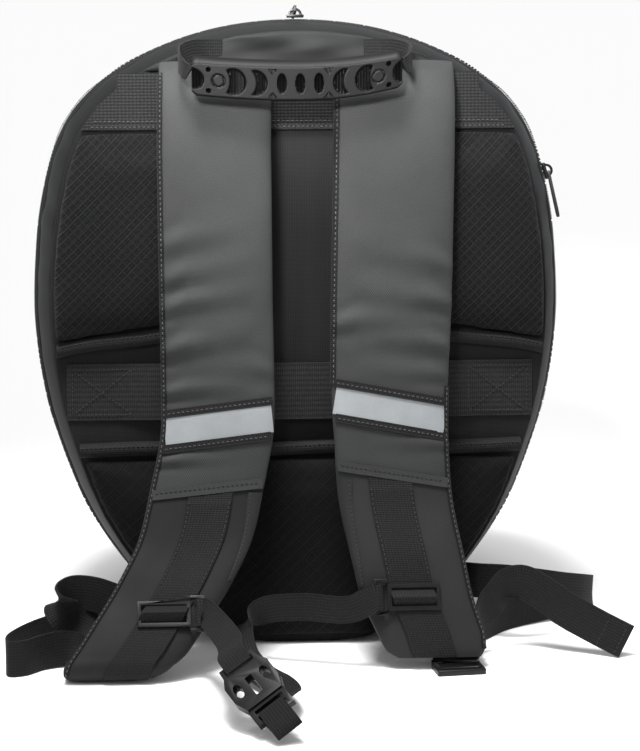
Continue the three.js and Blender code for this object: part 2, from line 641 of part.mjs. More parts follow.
piece('lower_webbing_right', strand([
  [[98, -72, 1.6], [1, 0.12, 0]],
  [[100, -66, 1.8], [1, 0.1, 0]],
  [[105, -50, 8], [0.8, 0.1, 0.5]],
  [[115, -32, 13.2], [0.2, 0.1, 0.98]],
  [[132, -8, 13], [0, 0, 1]],
  [[154, 20, 13], [0, 0, 1]],
  [[182, 38, 14], [0, 0, 1]],
  [[205, 42, 18], [0, 0, 1]],
  [[215, 33, 23], [0, 0, 1]],
  [[207, 18, 28], [0, 0, 1]],
  [[190, 5, 33], [0, 0, 1]],
  [[168, -6, 39], [0, 0, 1]],
  [[146, -9, 43], [0, 0, 1]],
  [[129, 0, 42], [0, 0, 1]],
  [[120.8, 12, 40], [0, 0, 1]],
], 40), 'webbing');
piece('tail_webbing_right', strand([
  [[104, -82, 5.4], [1, 0.1, 0]],
  [[107, -70, 6.2], [1, 0.1, 0.05]],
  [[114, -58, 14], [0.75, 0.1, 0.66]],
  [[122, -49, 25], [0.35, 0.1, 0.93]],
  [[132, -41, 37], [0, 0.1, 1]],
  [[143, -33, 46], [0.05, 0.1, 1]],
  [[154, -31, 48], [0.2, 0.1, 0.97]],
  [[167, -35, 42], [0.3, 0.1, 0.95]],
  [[184, -43, 31], [0.4, 0.1, 0.9]],
  [[203, -50, 21], [0.5, 0.1, 0.86]],
  [[225, -60, 11], [0.6, 0.1, 0.79]],
], 30), 'webbing');

// Booleans
function toManifold(geometry) {
  const source = geometry.index ? geometry.toNonIndexed() : geometry;
  const mesh = new wasm.Mesh({
    numProp: 3,
    vertProperties: new Float32Array(source.attributes.position.array),
    triVerts: Uint32Array.from({ length: source.attributes.position.count }, (_, i) => i),
  });
  mesh.merge();
  return new wasm.Manifold(mesh);
}
function fromManifold(solid) {
  const mesh = solid.getMesh();
  const geometry = new THREE.BufferGeometry();
  geometry.setAttribute('position', new THREE.BufferAttribute(new Float32Array(mesh.vertProperties), 3));
  geometry.setIndex(new THREE.BufferAttribute(new Uint32Array(mesh.triVerts), 1));
  return geometry;
}

// Carry handle: a moulded grip on webbing
const GRIP_FRONT = -54;
const GRIP_BACK = -43;
function gripGeometry() {
  const shape = new THREE.Shape();
  shape.moveTo(-75, 392).lineTo(-73, 387).quadraticCurveTo(-38, 383, -2, 383)
    .quadraticCurveTo(34, 384.5, 63, 391.5).lineTo(67, 396).lineTo(69, 416).lineTo(65, 418)
    .quadraticCurveTo(30, 411, -2, 411).quadraticCurveTo(-38, 411, -70, 414.5).lineTo(-76, 412)
    .closePath();
  const body = new THREE.ExtrudeGeometry(shape, {
    depth: GRIP_BACK - GRIP_FRONT, bevelEnabled: false, curveSegments: 6,
  });
  const recess = (x, z, rx, rz) => {
    const oval = new THREE.Shape().absellipse(x, z, rx, rz, 0, Math.PI * 2);
    return new THREE.ExtrudeGeometry(oval, { depth: 2, bevelEnabled: false, curveSegments: 5 })
      .translate(0, 0, -0.5);
  };
  let solid = toManifold(body);
  const ovals = [[-14.6, 395.2, 3.4, 7.2], [-1.9, 395, 3.4, 7.2], [11, 395.4, 3.4, 7.2],
    [-30.8, 395.3, 5, 7.6], [-46.2, 395.6, 5, 7.6], [26.9, 396.5, 5, 7.6], [42.4, 398, 4.6, 7.6],
    [-58.2, 396, 3.6, 4], [52.2, 399.2, 3.6, 4]];
  for (const row of ovals) solid = solid.subtract(toManifold(recess(...row)));
  // The outline was drawn in x and height; stand it up so that its front faces the harness side.
  const geometry = fromManifold(solid);
  geometry.applyMatrix4(new THREE.Matrix4().set(
    1, 0, 0, 0,
    0, 0, 1, GRIP_FRONT,
    0, 1, 0, 0,
    0, 0, 0, 1,
  ));
  return closedGeometry(Array.from(geometry.attributes.position.array), Array.from(geometry.index.array));
}
piece('handle_grip', gripGeometry(), 'grip', back);

const HANDLE_WEBBING = 15;
const handleWebbing = (side, inward, lift) => webbing(smoothRoute(stationList([
  [[side * (80.5 - inward), -48.5, 400 + lift], [0, 0, 1], HANDLE_WEBBING, WEB],
  [[side * (83.5 - inward), -47, 402 + lift], [0, 0, 1], HANDLE_WEBBING, WEB],
  [[side * (86 - inward), -38, 408 + lift * 0.6], [0, 0, 1], HANDLE_WEBBING, WEB],
  [[side * (83.5 - inward), -27, 414.5 + lift * 0.2], [0, 0, 1], HANDLE_WEBBING, WEB],
  [[side * (75 - inward), -17, 418.5], [0, 0, 1], HANDLE_WEBBING, WEB],
  [[side * (65 - inward), -10.2, 419], [0, 0, 1], HANDLE_WEBBING, WEB],
  [[side * (54 - inward), -7.7, 419], [0, 0, 1], HANDLE_WEBBING, WEB],
], ROUTE), 16));
piece('handle_webbing_left', handleWebbing(-1, 0, 0), 'webbing', back);
piece('handle_webbing_right', handleWebbing(1, 8, 4), 'webbing', back);

// Zip sliders and pulls
const SLIDER = { length: 12, width: 8.5, height: 2, bridge: 5, bar: 1.8 };
function sliderGeometry() {
  const block = new THREE.BoxGeometry(SLIDER.length, SLIDER.width, SLIDER.height)
    .translate(0, 0, SLIDER.height / 2);
  const arch = new THREE.Shape();
  arch.absarc(0, 0, SLIDER.bridge, 0, Math.PI, false);
  arch.absarc(0, 0, SLIDER.bridge - SLIDER.bar, Math.PI, 0, true);
  const bridge = new THREE.ExtrudeGeometry(arch, {
    depth: SLIDER.bar, bevelEnabled: false, curveSegments: 10,
  });
  bridge.translate(0, 0, -SLIDER.bar / 2).rotateX(Math.PI / 2).translate(0, 0, SLIDER.height - 0.2);
  return fromManifold(toManifold(block).add(toManifold(bridge)));
}
const PULL = { length: 34, width: 7, thickness: 1.8 };
// The pull hangs from the middle of its eye at the origin and runs along -Y.
function pullGeometry() {
  const half = PULL.width / 2;
  const shape = new THREE.Shape();
  shape.moveTo(-half + 1.5, -PULL.length + 3).lineTo(half - 1.5, -PULL.length + 3)
    .lineTo(half, -PULL.length + 6).lineTo(2.6, -2).lineTo(2.6, 2).lineTo(1.4, 3.4)
    .lineTo(-1.4, 3.4).lineTo(-2.6, 2).lineTo(-2.6, -2).lineTo(-half, -PULL.length + 6).closePath();
  shape.holes.push(rectangle(new THREE.Path(), -1.5, -1.7, 1.5, 1.8));
  shape.holes.push(rectangle(new THREE.Path(), -1.3, -PULL.length + 7, 1.3, -PULL.length + 16));
  const geometry = new THREE.ExtrudeGeometry(shape, { depth: PULL.thickness, bevelEnabled: false });
  return geometry.translate(0, 0, -PULL.thickness / 2);
}

// Each slider straddles the zip; its bridge stands outwards and carries the pull.
const ZIP_BULGE = 0.8;
const EYE_RADIUS = SLIDER.bridge - SLIDER.bar / 2;
function rimSpot(height) {
  const k = RIM_HALF.findIndex(([s]) => s > height);
  const [[s0, h0], [s1, h1]] = [RIM_HALF[k - 1], RIM_HALF[k]];
  const half = h0 + ((h1 - h0) * (height - s0)) / (s1 - s0);
  const up = vec(h1 - h0, 0, s1 - s0).normalize();
  return { half, up, outwards: vec(up.z, 0, -up.x) };
}
const zipMiddle = (ZIP_START + SHELL_START) / 2;
const topSeat = vec(0, zipMiddle, RIM_HALF.at(-1)[0] + ZIP_BULGE + GAP);
const topSlider = piece('zip_slider_top', sliderGeometry(), 'metal', back);
topSlider.position.copy(topSeat);
const TOP_PULL_DROP = 0.08;
const topPull = piece('zip_pull_top', pullGeometry(), 'zip', back);
orient(
  topPull,
  topSeat.clone().add(vec(0, 0, SLIDER.height - 0.2 + EYE_RADIUS)),
  vec(0, TOP_PULL_DROP, 1),
  vec(0, -1, TOP_PULL_DROP),
);

const SIDE_SLIDER_HEIGHT = 332;
const SIDE_PULL_OUT = -0.05;
const side = rimSpot(SIDE_SLIDER_HEIGHT);
const sideSeat = vec(side.half, zipMiddle, SIDE_SLIDER_HEIGHT)
  .addScaledVector(side.outwards, ZIP_BULGE - 0.35);
const sideSlider = piece('zip_slider_side', sliderGeometry(), 'metal', back);
orient(sideSlider, sideSeat, side.up, vec(0, -1, 0));
const eyeAngle = THREE.MathUtils.degToRad(20);
const sideEye = sideSeat.clone()
  .addScaledVector(side.outwards, SLIDER.height - 0.2 + EYE_RADIUS * Math.sin(eyeAngle))
  .addScaledVector(side.up, -EYE_RADIUS * Math.cos(eyeAngle));
const sidePull = piece('zip_pull_side', pullGeometry(), 'zip', back);
orient(sidePull, sideEye, vec(0, 1, 0), side.up.clone().addScaledVector(side.outwards, -SIDE_PULL_OUT));

bag.position.y = -BASE_MIDDLE;
bag.updateMatrixWorld(true);
export default bag;
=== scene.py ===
# %% [markdown]
# # A helmet backpack seen from its harness side
# The bag stands on its flat moulded base with the straps towards the camera.
# The solid model comes first, because every soft piece is laid on it.

# %% Load the solid model
import math

import bpy
import numpy as np
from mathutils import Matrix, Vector


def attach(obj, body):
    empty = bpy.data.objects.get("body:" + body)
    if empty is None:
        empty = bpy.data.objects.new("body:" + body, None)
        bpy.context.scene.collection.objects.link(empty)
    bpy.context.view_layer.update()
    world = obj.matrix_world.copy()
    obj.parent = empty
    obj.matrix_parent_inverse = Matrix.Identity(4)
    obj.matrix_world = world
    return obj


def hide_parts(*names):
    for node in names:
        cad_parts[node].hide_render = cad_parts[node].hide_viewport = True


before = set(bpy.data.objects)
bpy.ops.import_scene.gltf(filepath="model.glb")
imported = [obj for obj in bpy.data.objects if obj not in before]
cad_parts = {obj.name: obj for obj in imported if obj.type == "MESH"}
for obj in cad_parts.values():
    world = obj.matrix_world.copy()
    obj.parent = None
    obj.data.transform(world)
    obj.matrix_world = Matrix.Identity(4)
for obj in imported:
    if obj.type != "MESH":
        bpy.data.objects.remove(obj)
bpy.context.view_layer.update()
bpy.ops.object.select_all(action="DESELECT")
print("solid pieces:", len(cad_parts))

# %% [markdown]
# ## Camera
# The picture was taken a little from the right and a little from above, with a long lens.
# The camera comes first.

# %% Camera
bpy.ops.object.camera_add(location=(-0.1222, -2.0183, 0.5350))
camera = bpy.context.object
camera.name = "camera"
camera.rotation_euler = Vector((0.0687, 0.9824, -0.1736)).to_track_quat("-Z", "Y").to_euler()
camera.data.sensor_fit = "VERTICAL"
camera.data.sensor_height = 36
camera.data.lens = 133.2
bpy.context.scene.camera = camera
print("camera at", [round(v, 3) for v in camera.location])

# %% [markdown]
# ## Places on the bag
# The back panel leans by five degrees, so places on it are given as across, depth and height.
# The straps hang free of the panel and use the floor's own axes. Both are written in millimetres.

# %% Places in millimetres
LEAN = math.radians(5)
BASE_MIDDLE = 85
PANEL_LIFT = 3


def on_panel(x, depth, height):
    return Vector((
        x,
        depth * math.cos(LEAN) + height * math.sin(LEAN) - BASE_MIDDLE,
        PANEL_LIFT + height * math.cos(LEAN) - depth * math.sin(LEAN),
    )) / 1000


def on_floor(x, y, z):
    return Vector((x, y - BASE_MIDDLE, z)) / 1000


def turn_on_panel(x, depth, height):
    return on_panel(x, depth, height) - on_panel(0, 0, 0)


PANEL_OUT = turn_on_panel(0, -1, 0).normalized()
print("the panel faces", [round(v, 3) for v in PANEL_OUT])


# %% [markdown]
# ## Small hand tools
# Operators work on what is selected, so each tool first clears the selection.

# %% Hand tools
def pick_only(*objects):
    bpy.ops.object.select_all(action="DESELECT")
    for piece in objects:
        piece.select_set(True)
    bpy.context.view_layer.objects.active = objects[0]


def edit_all(piece):
    pick_only(piece)
    bpy.ops.object.mode_set(mode="EDIT")
    bpy.ops.mesh.select_all(action="SELECT")


def leave_edit():
    bpy.ops.object.mode_set(mode="OBJECT")


def apply_modifier(piece, kind, **settings):
    pick_only(piece)
    modifier = piece.modifiers.new(kind.title(), kind)
    for key, value in settings.items():
        setattr(modifier, key, value)
    bpy.ops.object.modifier_apply(modifier=modifier.name)


def settle(piece):
    pick_only(piece)
    bpy.ops.object.transform_apply(location=True, rotation=True, scale=True)


def face_outwards(piece):
    edit_all(piece)
    bpy.ops.mesh.normals_make_consistent(inside=False)
    leave_edit()


def soften(piece, rounds):
    """Evens out a remeshed skin."""
    apply_modifier(piece, "SMOOTH", iterations=rounds)


def all_smooth(piece):
    pick_only(piece)
    bpy.ops.object.shade_smooth()


def copy_solid(node, name):
    """A welded copy of a solid piece, with its loose triangles joined to four-sided faces."""
    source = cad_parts[node]
    piece = source.copy()
    piece.data = source.data.copy()
    piece.animation_data_clear()
    bpy.context.scene.collection.objects.link(piece)
    place = source.matrix_world.copy()
    piece.parent = None
    piece.matrix_world = place
    piece.name = piece.data.name = name
    piece.data.materials.clear()
    settle(piece)
    edit_all(piece)
    bpy.ops.mesh.remove_doubles(threshold=0.00002)
    bpy.ops.mesh.tris_convert_to_quads(face_threshold=math.radians(50), shape_threshold=math.radians(60))
    leave_edit()
    return piece


def dress(piece, finish, slot_name, *nodes, body="bag"):
    """The piece takes its finish, rides on the bag and stands for its solids."""
    piece.data.materials.clear()
    piece.data.materials.append(finish)
    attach(piece, body)
    if nodes:
        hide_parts(*nodes)
    print(piece.name, "faces:", len(piece.data.polygons))
    return piece


def points_of(piece):
    out = np.empty(len(piece.data.vertices) * 3)
    piece.data.vertices.foreach_get("co", out)
    return out.reshape(-1, 3)


def set_points(piece, places):
    piece.data.vertices.foreach_set("co", np.asarray(places, float).ravel())
    piece.data.update()


def normals_of(piece):
    out = np.empty(len(piece.data.vertices) * 3)
    piece.data.vertices.foreach_get("normal", out)
    return out.reshape(-1, 3)


def smooth_by_angle(piece, degrees=35):
    pick_only(piece)
    bpy.ops.object.shade_smooth_by_angle(angle=math.radians(degrees))


# %% [markdown]
# ## Finishes
# Every finish is made from nodes. A finish holds a colour with slow stains and fine grain, a rough
# sheen, and a weave in its bump. Cloth cut flat reads the object's own coordinates; webbing reads
# its UV map, which is laid out in metres along the band, so that the ribs follow every turn.

# %% Finish tools
class Finish:
    """A small bench for one material: nodes are added from left to right."""

    def __init__(self, name, rough, sheen=0.0, metallic=0.0, specular=0.35):
        self.material = bpy.data.materials.new(name)
        self.material.use_nodes = True
        self.tree = self.material.node_tree
        self.shader = self.tree.nodes["Principled BSDF"]
        self.shader.inputs["Roughness"].default_value = rough
        self.shader.inputs["Metallic"].default_value = metallic
        self.shader.inputs["Specular IOR Level"].default_value = specular
        self.shader.inputs["Sheen Weight"].default_value = sheen
        self.shader.inputs["Sheen Roughness"].default_value = 0.5
        self.heights = []

    def node(self, kind, links=None, **settings):
        node = self.tree.nodes.new(kind)
        for key, value in settings.items():
            setattr(node, key, value)
        for socket, value in (links or {}).items():
            if isinstance(value, bpy.types.NodeSocket):
                self.tree.links.new(value, node.inputs[socket])
            else:
                node.inputs[socket].default_value = value
        return node

    def place(self, uv=False, scale=(1, 1, 1), turn=0.0):
        source = self.node("ShaderNodeTexCoord").outputs["UV" if uv else "Object"]
        return self.node("ShaderNodeMapping", {
            "Vector": source, "Scale": scale, "Rotation": turn if isinstance(turn, tuple) else (0, turn, 0),
        }).outputs["Vector"]

    def math(self, operation, a, b=0.0, clamp=False):
        return self.node("ShaderNodeMath", {0: a, 1: b}, operation=operation, use_clamp=clamp).outputs[0]

    def fit(self, value, gain, floor):
        """A value times a gain, lifted by a floor."""
        return self.math("ADD", self.math("MULTIPLY", value, gain), floor)

    def waves(self, place, pitch, direction="X", profile="SIN", distortion=0.0):
        return self.node("ShaderNodeTexWave", {
            "Vector": place, "Scale": math.pi / 10 / pitch, "Distortion": distortion,
            "Detail": 1.0, "Detail Scale": 2.0,
        }, bands_direction=direction, wave_profile=profile).outputs["Fac"]

    def noise(self, place, scale, detail=3.0, rough=0.55):
        return self.node("ShaderNodeTexNoise", {
            "Vector": place, "Scale": scale, "Detail": detail, "Roughness": rough,
        }).outputs["Fac"]

    def ramp(self, value, dark, light, low=0.3, high=0.7):
        ramp = self.node("ShaderNodeValToRGB", {"Fac": value})
        ramp.color_ramp.elements[0].position = low
        ramp.color_ramp.elements[1].position = high
        ramp.color_ramp.elements[0].color = (*dark, 1)
        ramp.color_ramp.elements[1].color = (*light, 1)
        return ramp.outputs["Color"]

    def mix(self, share, first, second, blend="MIX"):
        node = self.node("ShaderNodeMix", data_type="RGBA", blend_type=blend)
        for socket, value in ((node.inputs[0], share), (node.inputs[6], first), (node.inputs[7], second)):
            if isinstance(value, bpy.types.NodeSocket):
                self.tree.links.new(value, socket)
            else:
                socket.default_value = (*value, 1) if isinstance(value, tuple) else value
        return node.outputs[2]

    def tint(self, share, base, value, dark, light, low=0.3, high=0.7):
        """Darkens and lightens a colour in the pattern of a value."""
        return self.mix(share, base, self.ramp(value, grey(dark), grey(light), low, high), "MULTIPLY")

    def colour(self, socket):
        self.tree.links.new(socket, self.shader.inputs["Base Color"])

    def roughness(self, socket):
        self.tree.links.new(socket, self.shader.inputs["Roughness"])

    def raise_by(self, height, distance, strength=1.0):
        """Stacks one more relief, given in metres."""
        self.heights.append((height, distance, strength))

    def done(self):
        normal = None
        for height, distance, strength in self.heights:
            bump = self.node("ShaderNodeBump", {"Height": height, "Distance": distance, "Strength": strength})
            if normal is not None:
                self.tree.links.new(normal, bump.inputs["Normal"])
            normal = bump.outputs["Normal"]
        if normal is not None:
            self.tree.links.new(normal, self.shader.inputs["Normal"])
        return self.material


def grey(level, warm=0.0):
    return (level * (1 + warm), level, level * (1 - warm))


# %% [markdown]
# ### Coated twill
# The straps and the gusset are a coated twill: fine slanting rows of yarn with a soft shine, a bit
# lighter where the cloth is rubbed. Two crossed rows of waves make the dotted slant of the yarn.
# Beyond a strap's hem, a slanting line in the UV map, the cloth is a plainer, smoother one, and its darker
# tone is partly painted shade, deeper on the left strap.

# %% Coated twill
def twill_finish(name, level, uv=False, pitch=0.0015, shine=0.62, hem=None, low_level_with_shade=0.05, slope=0.0):
    cloth = Finish(name, shine, sheen=0.03, specular=0.16)
    cloth.shader.inputs["Sheen Tint"].default_value = (0.8, 0.85, 0.9, 1)
    slant = 0.62
    turn = (0, 0, slant) if uv else (0, slant, 0)
    place = cloth.place(uv, turn=turn)
    plain = cloth.place(uv)
    rows = cloth.waves(place, pitch, "X", distortion=0.15)
    picks = cloth.waves(place, pitch * 0.62, "Y" if uv else "Z")
    weave = cloth.math("MULTIPLY", cloth.fit(rows, 0.65, 0.35), cloth.fit(picks, 0.65, 0.35))
    stain = cloth.noise(plain, 22, 4)
    grain = cloth.noise(plain, 900, 2)
    base = cloth.ramp(stain, grey(level * 0.86, -0.015), grey(level * 1.12, -0.015))
    base = cloth.tint(0.85, base, weave, 0.42, 1.2, 0.15, 0.8)
    if hem:
        spot = cloth.node("ShaderNodeSeparateXYZ", {"Vector": plain})
        line = cloth.fit(spot.outputs["X"], slope, hem)
        below = cloth.math("GREATER_THAN", spot.outputs["Y"], line)
        # Below the hem: a plainer cloth whose darker level is partly painted shade
        smooth = cloth.ramp(stain, grey(low_level_with_shade * 0.88, -0.01), grey(low_level_with_shade * 1.1, -0.01))
        base = cloth.mix(below, base, smooth)
        weave = cloth.math("MULTIPLY", weave, cloth.math("SUBTRACT", 1.0, cloth.math("MULTIPLY", below, 0.7)))
    cloth.colour(cloth.tint(0.35, base, grain, 0.7, 1.25, 0.35, 0.65))
    cloth.roughness(cloth.fit(stain, 0.12, shine - 0.06))
    cloth.raise_by(cloth.noise(plain, 60, 3), 0.0005, 0.35)
    cloth.raise_by(weave, 0.00016, 0.6)
    return cloth.done()


# The levels below the hem hold painted shade, deeper on the left strap than on the right
left_twill = twill_finish("left_twill", 0.038, uv=True, pitch=0.0012,
                          hem=0.306, low_level_with_shade=0.011, slope=-0.104)
right_twill = twill_finish("right_twill", 0.037, uv=True, pitch=0.0012,
                           hem=0.2955, low_level_with_shade=0.017, slope=0.169)
gusset_twill = twill_finish("gusset_twill", 0.0035, shine=0.6)
fold_twill = twill_finish("fold_twill", 0.02, uv=True)
yoke_twill = twill_finish("yoke_twill", 0.015, shine=0.66)
print("twill finishes:", left_twill.name, right_twill.name, gusset_twill.name, yoke_twill.name)

# %% [markdown]
# ### Webbing
# Webbing is woven in cross ribs with a few lengthwise cords and a firm selvedge at each edge.
# The ribs follow the band, so the pattern reads the UV map: U runs across and V along, in metres.

# %% Webbing
def webbing_finish(name, level, rib=0.0013, cord=0.0021):
    band = Finish(name, 0.66, sheen=0.03, specular=0.1)
    place = band.place(uv=True)
    ribs = band.waves(place, rib, "Y", distortion=0.1)
    cords = band.waves(place, cord, "X")
    weave = band.math("MULTIPLY", band.fit(ribs, 0.7, 0.3), band.fit(cords, 0.55, 0.45))
    fuzz = band.noise(band.place(), 700, 3)
    stain = band.noise(band.place(), 30, 3)
    base = band.ramp(weave, grey(level * 0.45), grey(level * 1.35, -0.01), 0.12, 0.85)
    base = band.tint(0.5, base, fuzz, 0.6, 1.35, 0.35, 0.68)
    band.colour(band.tint(0.5, base, stain, 0.85, 1.15))
    band.raise_by(weave, 0.00035, 0.8)
    band.raise_by(fuzz, 0.0001, 0.4)
    return band.done()


strap_webbing = webbing_finish("strap_webbing", 0.0125)
wide_webbing = webbing_finish("wide_webbing", 0.02, rib=0.0022, cord=0.0026)
luggage_webbing = webbing_finish("luggage_webbing", 0.018, rib=0.0015, cord=0.0036)
edge_tape = webbing_finish("edge_tape", 0.013, rib=0.0014, cord=0.0017)
print("webbing finishes ready")

# %% [markdown]
# ### Quilted mesh
# The pads wear a knitted mesh, pressed into small rhombs over foam. The lines between the rhombs
# are raised, and a painted highlight makes them lighter than the knit between them: two families of
# slanting lines, one of them stronger. The knit inside a rhomb is rows of fine slanting yarn.

# %% Quilted mesh
def quilt_finish(name, level, across=0.0068, up=0.0068, groove=0.0006, line=2.2, bright=0.8):
    mesh = Finish(name, 0.85, sheen=0.03, specular=0.08)
    plain = mesh.place()
    place = mesh.place(scale=(1 / across, 1, 1 / up))
    parts = mesh.node("ShaderNodeSeparateXYZ", {"Vector": place})
    ridge = None
    for sign, strength in ((1, 0.65), (-1, 1.0)):
        total = mesh.math("ADD", parts.outputs["X"], mesh.math("MULTIPLY", parts.outputs["Z"], sign))
        away = mesh.math("MULTIPLY", mesh.math("PINGPONG", total, 0.5), 2.0 * line, clamp=True)
        near = mesh.math("POWER", mesh.math("SUBTRACT", 1.0, away), 2.0)
        near = mesh.math("MULTIPLY", near, strength)
        ridge = near if ridge is None else mesh.math("MAXIMUM", ridge, near)
    holes = mesh.node("ShaderNodeTexVoronoi", {"Vector": plain, "Scale": 1000.0}).outputs["Distance"]
    knit = mesh.waves(mesh.place(turn=0.78), 0.00125, "X", distortion=0.4)
    purl = mesh.waves(mesh.place(turn=-0.78), 0.0021, "X", distortion=0.4)
    yarn = mesh.math("MULTIPLY", knit, mesh.fit(purl, 0.6, 0.4))
    base = mesh.ramp(yarn, grey(level * 0.25), grey(level * 2.6), 0.15, 0.85)
    beads = mesh.fit(yarn, 1.3, 0.35)
    # Painted highlight: the raised lines are lightened towards a pale grey
    lit = mesh.math("MULTIPLY", mesh.math("MULTIPLY", ridge, bright), beads, clamp=True)
    base = mesh.mix(lit, base, grey(level * 3.6))
    base = mesh.tint(0.6, base, holes, 1.4, 0.4, 0.15, 0.6)
    mesh.colour(mesh.tint(0.5, base, mesh.noise(plain, 25, 3), 0.8, 1.2))
    mesh.raise_by(ridge, groove, 0.9)
    mesh.raise_by(yarn, 0.0003, 0.6)
    mesh.raise_by(holes, 0.00025, 0.5)
    return mesh.done()


upper_mesh = quilt_finish("upper_mesh", 0.0078)
lower_mesh = quilt_finish("lower_mesh", 0.0045, across=0.0098, up=0.0092, groove=0.0004, line=4.5, bright=0.7)
print("mesh finishes ready")

# %% [markdown]
# ### Plain cloth, plastic, rubber and metal
# The board between the pads wears a plain cloth with upright ribs. The hardware is moulded nylon
# with a fine spark-eroded grain, the grip is softer and duller, and the sliders are lacquered.

# %% Plain finishes
def grained_finish(name, level, rough, grain=0.0002, grain_scale=1500, sheen=0.0, metallic=0.0,
                   specular=0.45, spread=0.25, shade=None):
    stuff = Finish(name, rough, sheen=sheen, metallic=metallic, specular=specular)
    plain = stuff.place()
    stain = stuff.noise(plain, 40, 4)
    fine = stuff.noise(plain, grain_scale, 2)
    base = stuff.ramp(stain, grey(level * (1 - spread), -0.01), grey(level * (1 + spread), -0.01))
    base = stuff.tint(0.3, base, fine, 0.75, 1.3, 0.35, 0.65)
    # Painted shade: where the named attribute is high, the colour darkens towards a quarter of its level
    if shade:
        share = stuff.node("ShaderNodeAttribute", attribute_name=shade).outputs["Fac"]
        base = stuff.mix(share, base, grey(level * 0.25))
    stuff.colour(base)
    stuff.roughness(stuff.fit(stain, 0.2, rough - 0.1))
    stuff.raise_by(fine, grain, 0.35)
    return stuff.done()


def ribbed_cloth(name, level):
    cloth = Finish(name, 0.8, sheen=0.03, specular=0.18)
    plain = cloth.place()
    ribs = cloth.waves(plain, 0.0012, "X", distortion=0.5)
    picks = cloth.waves(plain, 0.0009, "Z", distortion=0.3)
    weave = cloth.math("MULTIPLY", ribs, picks)
    stain = cloth.noise(cloth.place(scale=(90, 1, 6)), 1, 3)
    base = cloth.ramp(weave, grey(level * 0.5), grey(level * 1.4), 0.1, 0.8)
    cloth.colour(cloth.tint(0.7, base, stain, 0.7, 1.25))
    cloth.raise_by(weave, 0.0002, 0.7)
    return cloth.done()


channel_cloth = ribbed_cloth("channel_cloth", 0.0105)
zip_tape = ribbed_cloth("zip_tape", 0.01)
shell_laminate = grained_finish("shell_laminate", 0.012, 0.62, grain=0.0006, grain_scale=420, specular=0.2)
moulded_nylon = grained_finish("moulded_nylon", 0.005, 0.4, grain=0.00012, specular=0.3)
# The grip's pockets get painted shade from the pocket attribute
soft_grip = grained_finish("soft_grip", 0.003, 0.48, grain=0.00018, specular=0.16, shade="pocket")
lacquer = grained_finish("lacquer", 0.012, 0.3, grain=0.00005, metallic=0.5, specular=0.5)
pull_rubber = grained_finish("pull_rubber", 0.014, 0.5, grain=0.00015)
thread_black = grained_finish("thread_black", 0.006, 0.7, grain=0.0001, sheen=0.1)
thread_grey = grained_finish("thread_grey", 0.04, 0.7, grain=0.0001, sheen=0.2)


def reflective_finish():
    tape = Finish("reflective_tape", 0.42, specular=0.5)
    plain = tape.place()
    beads = tape.noise(plain, 2500, 2)
    stain = tape.noise(plain, 35, 4)
    base = tape.ramp(stain, (0.2, 0.213, 0.22), (0.25, 0.265, 0.275))
    tape.colour(tape.tint(0.5, base, beads, 0.85, 1.12, 0.35, 0.65))
    tape.raise_by(beads, 0.00006, 0.4)
    tape.raise_by(stain, 0.0004, 0.4)
    return tape.done()


reflective_tape = reflective_finish()
print("materials:", len(bpy.data.materials))

# %% [markdown]
# ## The moulded front, the zip and the gusset
# The front is a hard moulded bowl that the zip joins to a soft gusset. The solids already have the
# right outline, so a welded copy of each is subdivided into a smooth skin and takes its finish.

# %% Moulded front
front = copy_solid("front_shell", "moulded_front")
apply_modifier(front, "SUBSURF", levels=2, render_levels=2)
smooth_by_angle(front, 60)
dress(front, shell_laminate, "shell", "front_shell")

# %% [markdown]
# The gusset is cloth stretched over a stiff edge. Close to the corners it puckers a little where
# the seam turns, so its outer skin moves in and out by less than a millimetre along the rim.

# %% Gusset
gusset = copy_solid("back_gusset", "gusset")
apply_modifier(gusset, "SUBSURF", levels=3, render_levels=3)
places = points_of(gusset)
around = np.arctan2(places[:, 0], places[:, 2] - 0.215)
corner = np.exp(-((np.abs(around) - 0.95) / 0.35) ** 2)
pucker = (np.sin(around * 37) * 0.5 + np.sin(around * 61 + 1.3) * 0.35
          + np.sin(around * 23 + places[:, 1] * 90) * 0.4)
set_points(gusset, places + normals_of(gusset) * ((0.00015 + 0.0007 * corner) * pucker)[:, None])
smooth_by_angle(gusset, 60)
dress(gusset, gusset_twill, "twill", "back_gusset")

# %% [markdown]
# ### Zip
# The zip runs round the whole rim: a woven tape with a coil of teeth along its middle. One tooth is
# modelled, and copies of it are laid along the tape, each turned to follow the rim.

# %% Zip tape
tape = copy_solid("zip_band", "zip_tape")
apply_modifier(tape, "SUBSURF", levels=2, render_levels=2)
smooth_by_angle(tape, 60)
dress(tape, zip_tape, "zip", "zip_band")


# The rim's right half, from the base to the top: half width and height on the panel
RIM_HALF = [
    (-7, 0), (-5.5, 34), (-0.5, 62), (11, 87), (29, 107), (52, 126), (76, 143), (96, 154.5),
    (120, 164.5), (141, 172), (165, 179.5), (190, 184.5), (212, 187.5), (240, 189.3),
    (276, 187.8), (303, 185.2), (330, 180), (350, 174.5), (365, 169), (378, 161), (390, 151),
    (400, 138.5), (411, 123), (421, 103), (430, 80), (437, 54), (441, 27), (442.3, 0),
]


# %% Rows of small copies
def lay_copies(name, template, spots):
    """One mesh of many copies: each spot is a place with its own along, across and out directions."""
    verts = points_of(template)
    faces = [list(p.vertices) for p in template.data.polygons]
    places = []
    cells = []
    for at, along, across, out in spots:
        turned = verts @ np.array([along, across, out])
        cells += [[i + len(places) * len(verts) for i in face] for face in faces]
        places.append(turned + np.array(at))
    mesh = bpy.data.meshes.new(name)
    mesh.from_pydata(np.concatenate(places).tolist(), [], cells)
    piece = bpy.data.objects.new(name, mesh)
    bpy.context.scene.collection.objects.link(piece)
    all_smooth(piece)
    return piece


